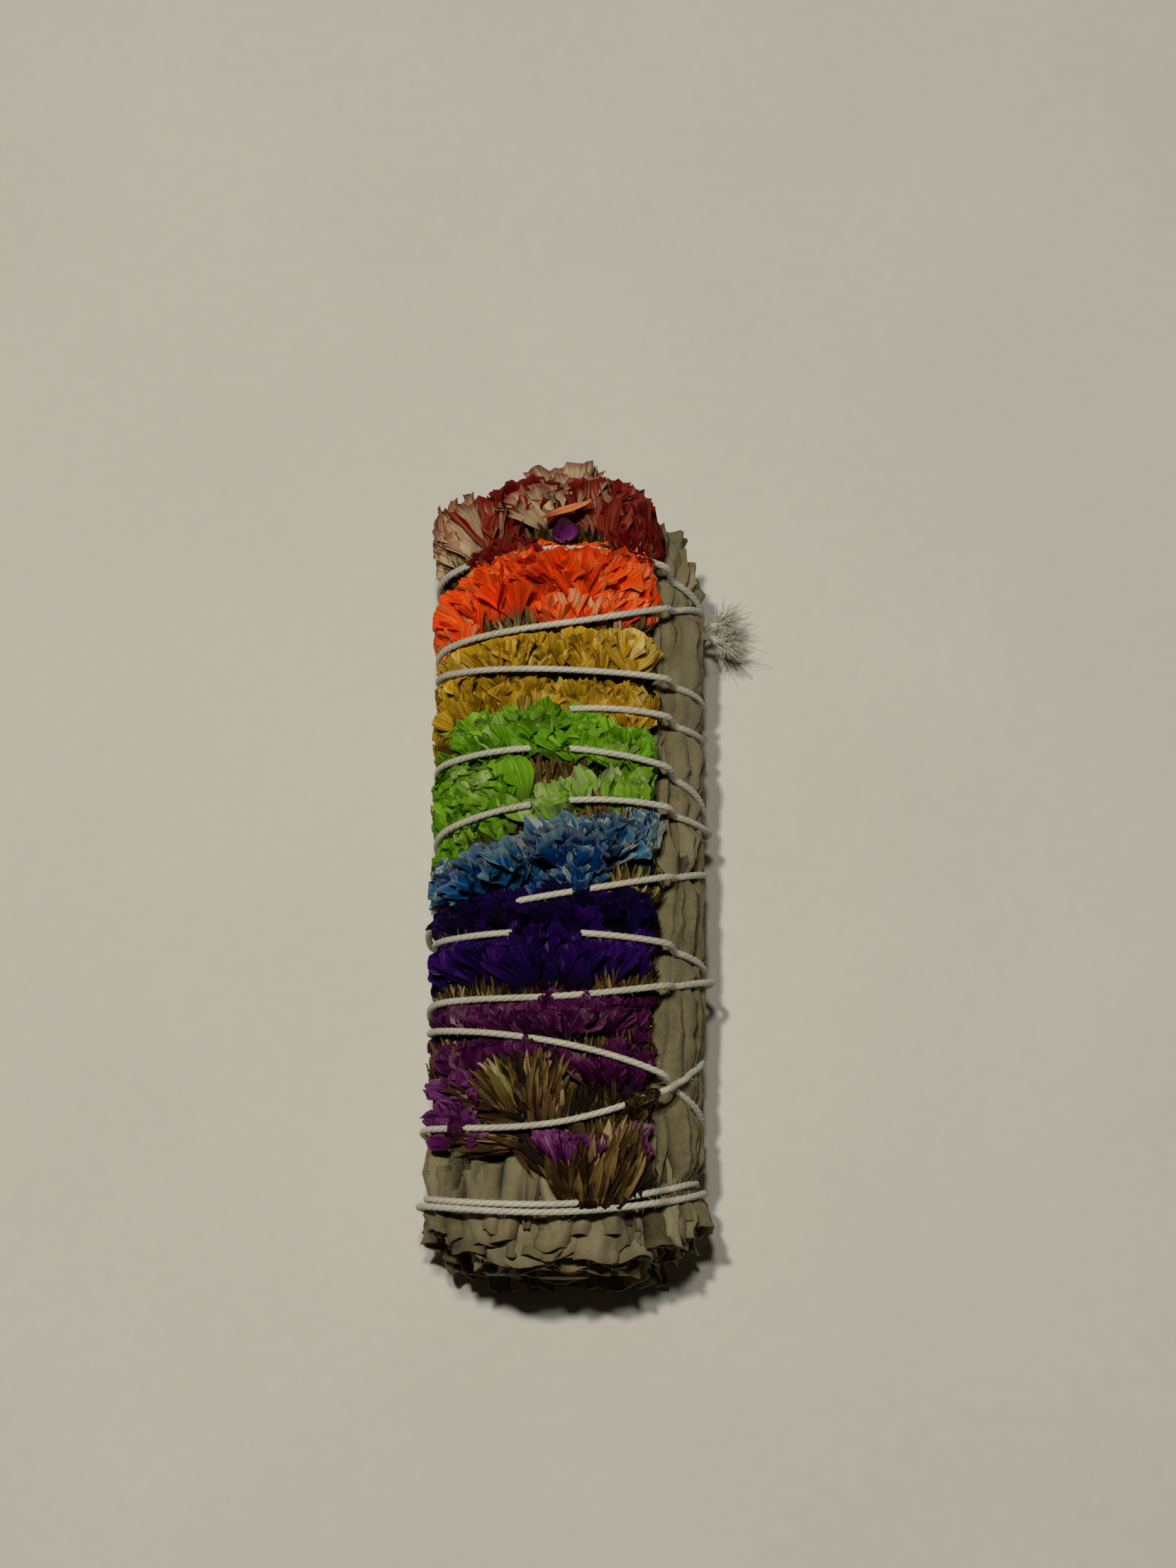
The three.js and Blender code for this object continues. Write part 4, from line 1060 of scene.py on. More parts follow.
SPRAYS = (
    Spray("red", RED, (
        Tuft(174, 38.4, 6.2, -6, 7, 0.45, lean=(4, 26)),
        Tuft(161, 39.4, 7.2, -14, 8, 0.9, lean=(6, 30), vary=0.1),
        Tuft(149, 40.2, 8.2, -20, 9, 0.95, lean=(10, 36), vary=0.1),
        Tuft(138, 40.7, 8.6, -14, 10, 0.8),
        Tuft(126, 41.0, 8.0, 2, 9, 0.35),
        Tuft(112, 43.6, 6.6, -4, 8, 0.22, lean=(20, 46)),
        Tuft(95, 43.6, 8.0, -5, 15, 1.0, lean=(16, 50), vary=0.08, width=1.15),
        Tuft(84, 42.8, 7.6, 6, 8, 0.12),
        Tuft(75, 41.2, 8.8, 2, 11, 0.5),
        Tuft(63, 40.2, 7.8, 2, 9, 0.26, lean=(10, 40)),
        Tuft(50, 38.8, 7.2, -6, 8, 0.02, lean=(4, 24)),
        Tuft(118, 37.4, 5.8, -2, 13, 0.04, lean=(12, 36)),
        Tuft(66, 37.4, 5.6, 10, 7, 0.05, lean=(10, 34)),
    ), (
        husk(160, 36.6, 6.4, -24, 26, 0.6, width=1.2),
        husk(172, 33.0, 5.4, -18, 22, 0.62, width=1.4),
        husk(160, 33.0, 5.0, -30, 18, 0.5, width=1.4),
        husk(145, 36.4, 6.6, -24, 26, 0.6, width=1.2),
        husk(133, 36.8, 6.0, -20, 20, 0.55, width=1.2),
        husk(100, 38.6, 5.4, 0, 26, 0.45, width=1.2, lean=(6, 34)),
        husk(86, 38.2, 5.6, 0, 26, 0.45, width=1.2, lean=(6, 34)),
        husk(70, 38.0, 5.6, 4, 26, 0.45, width=1.2, lean=(6, 34)),
        husk(56, 37.4, 5.0, 4, 20, 0.4, width=1.2, lean=(4, 24)),
        *bed(39.0, 0.3),
    ), 101),
    Spray("orange", ORANGE, (
        Tuft(177, 24.4, 4.8, -4, 8, 0.76, lean=(4, 28)),
        Tuft(166, 25.6, 5.6, -16, 10, 0.76, lean=(6, 32)),
        Tuft(154, 27.2, 6.4, -26, 11, 0.66, lean=(8, 36)),
        Tuft(144, 29.0, 7.0, -28, 11, 0.56),
        Tuft(132, 31.0, 7.2, -20, 10, 0.48),
        Tuft(122, 32.4, 7.0, -14, 10, 0.48, crumple=0.08),
        Tuft(112, 33.6, 6.6, -6, 11, 0.46, lean=(20, 50)),
        Tuft(101, 34.0, 7.0, -8, 12, 0.46, lean=(18, 50)),
        Tuft(90, 33.4, 7.6, -4, 12, 0.48, lean=(18, 48)),
        Tuft(79, 33.6, 6.8, 3, 12, 0.46, lean=(18, 48)),
        Tuft(69, 33.8, 6.4, 4, 11, 0.48, lean=(16, 44)),
        Tuft(57, 33.6, 5.6, -4, 10, 0.56, lean=(8, 34)),
        Tuft(98, 30.2, 5.6, -8, 11, 0.45, lean=(18, 44)),
        Tuft(86, 30.6, 5.4, 0, 11, 0.52, lean=(16, 42)),
        Tuft(74, 30.8, 5.2, 6, 11, 0.62, lean=(12, 38)),
        Tuft(60, 30.4, 5.2, 8, 9, 0.7, lean=(8, 32)),
    ), (
        husk(128, 26.8, 5.4, -12, 22, 0.72, width=1.3, lean=(6, 32)),
        husk(118, 27.4, 5.4, -6, 20, 0.6, width=1.3, lean=(6, 32)),
        husk(148, 25.8, 5.0, -16, 22, 0.45),
        husk(166, 25.0, 4.6, -10, 18, 0.4),
        husk(64, 28.4, 5.4, 8, 24, 0.62, width=1.2, lean=(6, 30)),
        husk(82, 27.6, 4.8, 0, 18, 0.4),
        *bed(29.0, 0.3),
    ), 102),
    Spray("yellow", YELLOW, (
        Tuft(176, 20.0, 5.8, -2, 8, 0.55, lean=(4, 26)),
        Tuft(164, 21.0, 5.8, -6, 10, 0.58, lean=(6, 30)),
        Tuft(152, 22.0, 5.8, -6, 10, 0.55),
        Tuft(140, 23.0, 5.6, -4, 11, 0.52),
        Tuft(128, 23.8, 5.6, 2, 12, 0.52),
        Tuft(117, 23.8, 5.8, 0, 12, 0.5),
        Tuft(106, 23.8, 5.8, -2, 12, 0.55),
        Tuft(94, 23.8, 5.6, -4, 12, 0.52),
        Tuft(83, 23.6, 5.8, 2, 12, 0.56),
        Tuft(72, 23.6, 6.2, 2, 12, 0.68),
        Tuft(60, 23.4, 6.4, -2, 11, 0.62, lean=(8, 36)),
        Tuft(176, 13.8, 6.0, -4, 9, 0.55, lean=(4, 28)),
        Tuft(165, 14.6, 6.6, -14, 11, 0.6, lean=(6, 32)),
        Tuft(152, 15.8, 6.4, -14, 11, 0.56),
        Tuft(140, 17.0, 6.2, -6, 10, 0.52),
        Tuft(128, 17.2, 6.2, 2, 12, 0.42, kind=Kind.STRIP, width=1.3),
        Tuft(116, 17.0, 6.0, 4, 16, 0.4, kind=Kind.STRIP, width=1.3),
        Tuft(104, 16.6, 6.0, 0, 16, 0.4, kind=Kind.STRIP, width=1.3),
        Tuft(92, 16.6, 6.0, 2, 16, 0.44, kind=Kind.STRIP, width=1.3),
        Tuft(80, 16.4, 6.0, 4, 16, 0.46, kind=Kind.STRIP, width=1.3),
        Tuft(69, 16.2, 6.0, 2, 14, 0.46, kind=Kind.STRIP, width=1.3),
        Tuft(59, 16.0, 5.8, 0, 12, 0.5, kind=Kind.STRIP, width=1.3, lean=(8, 34)),
        Tuft(112, 16.8, 6.0, 4, 9, 0.5),
        Tuft(86, 16.4, 6.0, 2, 9, 0.52),
        Tuft(66, 16.0, 6.0, 2, 8, 0.54),
    ), (
        husk(150, 12.0, 5.0, -10, 22, 0.42),
        husk(128, 13.4, 5.0, 0, 22, 0.4),
        husk(104, 13.2, 5.0, 0, 22, 0.4),
        husk(82, 12.4, 5.0, 0, 22, 0.4),
        husk(62, 11.6, 5.4, 0, 24, 0.5, lean=(4, 28)),
        *bed(19.4, 0.25),
        *bed(14.6, 0.25),
    ), 103),
    Spray("green", GREEN, (
        Tuft(130, 12.6, 6.0, 2, 11, 0.5, Kind.RUFFLE, 0.9, 24, (18, 48)),
        Tuft(121, 13.0, 6.0, 4, 11, 0.52, Kind.RUFFLE, 0.9, 24, (20, 52)),
        Tuft(112, 13.2, 6.2, 2, 13, 0.52, Kind.RUFFLE, 0.9, 24, (22, 56)),
        Tuft(103, 13.0, 6.4, 0, 13, 0.5, Kind.RUFFLE, 0.9, 24, (22, 56)),
        Tuft(95, 12.4, 6.4, -2, 11, 0.5, Kind.RUFFLE, 0.9, 24, (20, 52)),
        Tuft(84, 11.6, 5.8, -4, 11, 0.48, Kind.RUFFLE, 0.9, 24, (20, 50)),
        Tuft(76, 11.2, 5.8, -4, 11, 0.5, Kind.RUFFLE, 0.9, 24, (20, 50)),
        Tuft(67, 10.8, 5.8, -6, 10, 0.5, Kind.RUFFLE, 0.9, 24, (16, 46)),
        Tuft(58, 10.2, 6.0, -8, 10, 0.54, Kind.RUFFLE, 0.9, 22, (8, 38)),
        Tuft(110, 6.8, 7.2, -10, 2, 0.62, Kind.PETAL, 0.8, 6, (22, 30), 2.4, crumple=0.05),
        Tuft(122, 7.0, 6.2, -6, 6, 0.54, Kind.PETAL, 0.9, 46, (12, 46), crumple=0.34, vary=0.2),
        Tuft(132, 6.2, 6.2, -4, 9, 0.54, Kind.PETAL, 0.9, 50, (12, 48), crumple=0.34, vary=0.2),
        Tuft(142, 7.4, 6.4, -12, 9, 0.50, Kind.PETAL, 0.95, 46, (12, 48), crumple=0.34, vary=0.2),
        Tuft(150, 4.6, 6.0, -12, 10, 0.50, Kind.PETAL, 0.95, 52, (12, 48), crumple=0.34, vary=0.2),
        Tuft(158, 9.0, 6.2, -6, 8, 0.44, Kind.PETAL, 0.95, 42, (8, 42), crumple=0.34, vary=0.2),
        Tuft(163, 3.0, 6.6, 0, 9, 0.46, Kind.PETAL, 0.95, 42, (8, 44), crumple=0.34, vary=0.2),
        Tuft(172, 7.0, 6.2, 0, 7, 0.44, Kind.PETAL, 0.95, 36, (4, 36), crumple=0.34, vary=0.2),
        Tuft(175, 1.0, 6.0, 2, 8, 0.44, Kind.PETAL, 0.95, 36, (4, 36), crumple=0.34, vary=0.2),
        Tuft(165, -2.8, 5.4, -2, 8, 0.44, Kind.PETAL, 0.95, 38, (6, 36), crumple=0.34, vary=0.2),
        Tuft(155, -1.6, 5.4, 6, 7, 0.48, Kind.PETAL, 0.9, 42, (8, 40), crumple=0.34, vary=0.2),
        Tuft(138, 2.2, 5.4, -8, 8, 0.46, Kind.PETAL, 0.8, 50, (10, 44), crumple=0.34, vary=0.2),
        Tuft(124, 3.4, 5.2, -30, 6, 0.6, Kind.STRIP, 1.3, 30, (10, 30)),
        Tuft(112, 4.2, 5.4, -40, 8, 0.78, Kind.STRIP, 1.5, 26, (10, 32)),
        Tuft(100, 3.8, 5.2, -34, 7, 0.88, Kind.STRIP, 1.6, 30, (10, 32)),
        Tuft(88, 4.6, 5.0, -30, 7, 0.82, Kind.STRIP, 1.5, 30, (8, 28)),
        Tuft(78, 5.6, 5.6, -8, 10, 0.8, Kind.STRIP, 1.5, 18, (8, 30)),
        Tuft(68, 5.2, 5.8, -8, 11, 0.8, Kind.STRIP, 1.5, 16, (8, 30)),
        Tuft(57, 5.0, 6.0, -8, 11, 0.84, Kind.STRIP, 1.6, 14, (4, 26)),
    ), (
        husk(101, 7.4, 5.6, 0, 30, 0.5, width=1.4, lean=(8, 34)),
        husk(90, 6.6, 5.6, 0, 24, 0.5, width=1.4, lean=(8, 34)),
        husk(118, 6.8, 4.8, -8, 16, 0.45, width=1.3),
        husk(146, 1.0, 4.6, -10, 16, 0.5, width=1.4, lean=(8, 30)),
        husk(70, 2.0, 6.0, 0, 26, 0.55, width=1.3, lean=(4, 24)),
        husk(58, 1.6, 6.0, 0, 22, 0.55, width=1.3, lean=(4, 22)),
        *bed(10.0, 0.25),
        *bed(4.0, 0.28),
    ), 104),
    Spray("blue", BLUE, (
        Tuft(172, -6.4, 5.2, -6, 8, 0.6, Kind.RUFFLE, 0.9, 26, (4, 30)),
        Tuft(161, -5.8, 5.6, -20, 11, 0.62, Kind.RUFFLE, 0.9, 30, (8, 40), jag=0.12, vary=0.3),
        Tuft(150, -5.4, 6.0, -26, 13, 0.62, Kind.RUFFLE, 0.9, 34, (10, 46), jag=0.12, vary=0.3),
        Tuft(139, -5.0, 6.0, -20, 13, 0.58, Kind.RUFFLE, 0.9, 34, (14, 50), jag=0.12, vary=0.3),
        Tuft(129, -4.6, 6.2, -14, 12, 0.56, Kind.RUFFLE, 0.9, 30, (16, 52), jag=0.12, vary=0.3),
        Tuft(119, -4.2, 6.2, -8, 12, 0.5, Kind.RUFFLE, 0.9, 28, (16, 52), jag=0.12, vary=0.3),
        Tuft(109, -3.8, 6.2, -2, 12, 0.5, Kind.RUFFLE, 0.9, 28, (16, 52), jag=0.12, vary=0.3),
        Tuft(99, -3.4, 6.8, -4, 12, 0.36, Kind.RUFFLE, 0.9, 28, (16, 54), jag=0.12, vary=0.3),
        Tuft(90, -2.8, 7.0, -2, 12, 0.3, Kind.RUFFLE, 0.9, 26, (18, 54), jag=0.12, vary=0.3),
        Tuft(82, -2.0, 6.8, 0, 11, 0.4, Kind.RUFFLE, 0.9, 26, (18, 52), jag=0.12, vary=0.3),
        Tuft(91, -6.2, 5.0, -12, 12, 0.26, Kind.RUFFLE, 0.9, 34, (14, 46), jag=0.12, vary=0.3),
        Tuft(73, -1.0, 6.2, 0, 12, 0.66, Kind.RUFFLE, 0.9, 24, (16, 48), jag=0.12, vary=0.3),
        Tuft(64, -1.0, 6.2, 0, 12, 0.86, Kind.FAN, 1.0, 22, (10, 42), jag=0.12, vary=0.3),
        Tuft(54, -1.2, 6.4, -8, 11, 0.86, Kind.FAN, 1.0, 18, (4, 32), jag=0.12, vary=0.3),
        Tuft(90, -3.6, 4.2, 6, 2, 1.05, Kind.PETAL, 0.8, 6, (26, 34), 3.2, (0.4, 0.3), crumple=0.05),
    ), (
        husk(74, -8.2, 6.0, -8, 26, 0.62, spread=22, width=1.1, lean=(6, 32)),
        husk(62, -7.8, 6.2, 0, 26, 0.68, spread=20, width=1.1, lean=(4, 28)),
        husk(54, -7.6, 6.0, 6, 18, 0.62, width=1.1, lean=(2, 20)),
        husk(129, -9.0, 4.6, -16, 20, 0.66, spread=30, width=1.1, lean=(8, 36)),
        husk(112, -8.4, 4.6, 0, 16, 0.35),
        husk(150, -9.4, 4.6, -16, 16, 0.4, spread=30),
        *bed(-4.6, 0.22),
    ), 105),
    Spray("indigo", INDIGO, (
        Tuft(146, -10.2, 4.8, 0, 9, 0.4, Kind.RUFFLE, 0.9, 24, (14, 42)),
        Tuft(134, -9.8, 5.2, 4, 10, 0.3, Kind.RUFFLE, 0.9, 24, (16, 46)),
        Tuft(122, -10.6, 5.6, 2, 11, 0.22, Kind.RUFFLE, 0.9, 24, (18, 50)),
        Tuft(111, -11.0, 6.0, 2, 11, 0.2, Kind.RUFFLE, 0.9, 24, (20, 54)),
        Tuft(101, -11.0, 6.2, 2, 11, 0.18, Kind.RUFFLE, 0.9, 24, (20, 54)),
        Tuft(91, -11.0, 6.2, 0, 11, 0.16, Kind.RUFFLE, 0.9, 24, (20, 54)),
        Tuft(81, -10.8, 5.8, -2, 11, 0.16, Kind.RUFFLE, 0.9, 24, (18, 50)),
        Tuft(70, -10.6, 5.4, -2, 10, 0.2, Kind.RUFFLE, 0.9, 24, (14, 46)),
        Tuft(59, -10.4, 5.0, -4, 9, 0.3, Kind.RUFFLE, 0.9, 22, (6, 34)),
        Tuft(158, -11.4, 4.8, -4, 8, 0.5, Kind.RUFFLE, 0.9, 24, (8, 32)),
        Tuft(172, -16.4, 6.0, -8, 8, 0.5, lean=(4, 28)),
        Tuft(161, -16.2, 6.4, -22, 11, 0.52, lean=(6, 34)),
        Tuft(150, -16.0, 6.6, -26, 11, 0.52, lean=(8, 38)),
        Tuft(139, -16.4, 6.4, -14, 11, 0.46),
        Tuft(129, -16.8, 6.4, -6, 12, 0.5, width=0.7, crumple=0.2),
        Tuft(119, -17.2, 6.6, -4, 12, 0.52, width=0.7, crumple=0.2),
        Tuft(109, -17.4, 6.8, -2, 13, 0.52, width=0.7, crumple=0.2),
        Tuft(99, -17.6, 6.8, -2, 13, 0.5, width=0.7, crumple=0.2),
        Tuft(89, -17.6, 6.8, 0, 13, 0.5, width=0.7, crumple=0.2),
        Tuft(79, -17.4, 6.6, 0, 12, 0.52, width=0.7, crumple=0.2),
        Tuft(69, -16.6, 6.2, 0, 11, 0.54, width=0.7, crumple=0.2),
        Tuft(60, -15.4, 5.6, 0, 10, 0.56, width=0.8, lean=(6, 32)),
        Tuft(110, -14.6, 4.8, 0, 5, 0.5, spread=14, lean=(20, 40), height=2.6),
        Tuft(101, -14.6, 4.8, 0, 5, 0.5, spread=14, lean=(20, 40), height=2.6),
    ), (
        husk(162, -21.0, 5.2, -14, 24, 0.55, width=1.2, lean=(4, 26)),
        husk(148, -20.8, 5.4, -10, 26, 0.6, width=1.2, lean=(6, 32)),
        husk(134, -20.8, 4.8, -4, 20, 0.5, width=1.1),
        husk(112, -20.6, 4.4, 0, 18, 0.4),
        husk(88, -20.6, 4.4, 0, 18, 0.4),
        husk(64, -19.4, 5.4, 0, 26, 0.5, width=1.2, lean=(4, 28)),
        husk(55, -18.4, 5.8, 0, 20, 0.5, width=1.2, lean=(2, 20)),
        *bed(-12.0, 0.16),
        *bed(-17.0, 0.18),
    ), 106),
    Spray("violet", VIOLET, (
        Tuft(174, -22.6, 4.6, -4, 8, 0.6, Kind.PETAL, 0.9, 30, (4, 30)),
        Tuft(163, -22.4, 5.2, -20, 10, 0.7, Kind.PETAL, 0.9, 34, (6, 36)),
        Tuft(152, -22.6, 5.2, -26, 10, 0.64, Kind.PETAL, 0.9, 36, (8, 38)),
        Tuft(141, -23.0, 5.0, -20, 9, 0.56, Kind.PETAL, 0.9, 36, (10, 40)),
        Tuft(131, -23.4, 4.6, -8, 9, 0.5, Kind.RUFFLE, 0.8, 26, (14, 44)),
        Tuft(121, -23.6, 4.4, 0, 9, 0.5, Kind.RUFFLE, 0.8, 26, (14, 44)),
        Tuft(111, -23.8, 4.8, 0, 10, 0.5, Kind.RUFFLE, 0.8, 26, (16, 48)),
        Tuft(101, -24.0, 5.4, -4, 14, 0.5, Kind.RUFFLE, 0.8, 30, (18, 60)),
        Tuft(92, -24.0, 5.4, -4, 12, 0.46, Kind.RUFFLE, 0.8, 30, (18, 60)),
        Tuft(81, -24.0, 5.4, -4, 14, 0.5, Kind.RUFFLE, 0.8, 30, (18, 60)),
        Tuft(70, -24.2, 4.6, 0, 9, 0.46, Kind.RUFFLE, 0.8, 26, (12, 44)),
        Tuft(55, -22.6, 4.8, -10, 6, 0.56, Kind.PETAL, 0.9, 20, (6, 30)),
        Tuft(63, -26.2, 4.0, -8, 8, 0.4, Kind.RUFFLE, 0.8, 26, (8, 38)),
        Tuft(140, -27.4, 4.6, -20, 9, 0.5, Kind.PETAL, 0.9, 34, (8, 34)),
        Tuft(128, -27.8, 4.6, -20, 9, 0.5, Kind.PETAL, 0.9, 34, (10, 36)),
        Tuft(116, -28.0, 4.4, -18, 10, 0.5, Kind.PETAL, 0.9, 34, (12, 38)),
        Tuft(104, -28.2, 4.2, -8, 9, 0.5, Kind.PETAL, 0.9, 34, (12, 38)),
        Tuft(75, -30.2, 4.6, -6, 12, 0.42, Kind.RUFFLE, 0.8, 28, (14, 46)),
        Tuft(66, -30.4, 4.6, -4, 12, 0.42, Kind.RUFFLE, 0.8, 28, (10, 42)),
        Tuft(58, -30.0, 4.6, 0, 9, 0.46, Kind.RUFFLE, 0.8, 24, (4, 32)),
        Tuft(107, -26.9, 3.2, 10, 4, 0.56, Kind.PETAL, 0.9, 20, (26, 40), 2.8, (0.8, 0.3)),
    ), (
        husk(113, -32.6, 7.4, -46, 30, 0.5, spread=30, scatter=(2.0, 1.0), width=1.1, lean=(4, 26)),
        husk(107, -32.8, 7.8, -14, 34, 0.52, spread=26, scatter=(2.2, 1.0), width=1.1, lean=(6, 32)),
        husk(101, -32.8, 7.4, 14, 24, 0.55, spread=22, scatter=(2.0, 1.0), width=1.1, lean=(6, 30)),
        husk(92, -29.6, 5.2, 0, 22, 0.55, width=1.1, lean=(6, 30)),
        husk(72, -28.4, 5.4, 0, 24, 0.5, width=1.1, lean=(6, 28)),
        husk(57, -28.4, 6.2, 0, 26, 0.52, width=1.1, lean=(2, 20)),
        husk(152, -28.0, 5.4, -16, 26, 0.55, width=1.1, lean=(4, 24)),
        husk(166, -27.6, 5.0, -8, 22, 0.5, width=1.1, lean=(2, 18)),
        *bed(-24.0, 0.2),
        *bed(-28.4, 0.22),
    ), 107),
    Spray("lilac", LILAC, (
        Tuft(138, -31.6, 4.2, 10, 12, 0.55, Kind.PETAL, 0.9, 60, (16, 60), scatter=(1.4, 1.0)),
        Tuft(137, -34.2, 3.8, 10, 12, 0.55, Kind.PETAL, 0.9, 90, (16, 60), scatter=(1.4, 1.0)),
        Tuft(138, -36.4, 3.4, 10, 8, 0.45, Kind.PETAL, 0.9, 120, (10, 50), scatter=(1.2, 0.8)),
        Tuft(89, -40.8, 4.8, -4, 8, 0.4, Kind.FAN, 0.8, 14, (10, 34), 1.9),
        Tuft(82, -41.0, 4.6, 2, 6, 0.2, Kind.FAN, 0.8, 14, (10, 30), 1.9),
        Tuft(62, -40.8, 5.6, 16, 8, 0.66, Kind.FAN, 0.7, 16, (8, 32), 1.6),
        Tuft(56, -39.8, 5.4, 12, 9, 0.76, Kind.FAN, 0.7, 16, (4, 26), 1.5),
    ), (
        husk(84, -45.0, 5.8, -6, 30, 0.3, spread=14, scatter=(1.6, 1.0), width=1.6, lean=(6, 30)),
        husk(78, -45.0, 6.6, 10, 40, 0.36, spread=16, scatter=(1.8, 1.2), width=1.5, lean=(6, 34)),
        husk(73, -43.4, 8.6, 10, 44, 0.5, spread=15, scatter=(2.0, 2.0), width=1.3, lean=(8, 36)),
        husk(66, -43.0, 7.2, 26, 26, 0.38, spread=14, scatter=(1.6, 1.4), width=1.4, lean=(2, 20)),
        husk(72, -39.6, 6.2, 12, 26, 0.5, spread=22, scatter=(2.2, 1.6), width=1.0, lean=(8, 30)),
        husk(110, -36.4, 6.4, -84, 30, 0.5, spread=18, scatter=(1.6, 2.2), width=1.2, lean=(2, 20)),
        husk(104, -36.4, 7.0, 150, 18, 0.4, spread=12, scatter=(2.2, 1.4), width=1.2, lean=(0, 8)),
        husk(96, -37.0, 6.6, 160, 22, 0.36, spread=12, scatter=(2.0, 1.6), width=1.4, lean=(0, 8)),
        husk(66, -34.6, 4.4, 40, 7, 0.62, spread=14, scatter=(1.6, 0.6), width=3.0, lean=(10, 26)),
        husk(62, -31.8, 4.6, 10, 16, 0.5, scatter=(2.4, 1.4), width=1.2),
        husk(92, -34.8, 4.6, 0, 16, 0.6, scatter=(2.4, 1.2), width=1.1, lean=(4, 22)),
        *bed(-33.6, 0.25, 52.0, 118.0),
        *bed(-38.4, 0.28, 60.0, 100.0),
    ), 108, True),
)


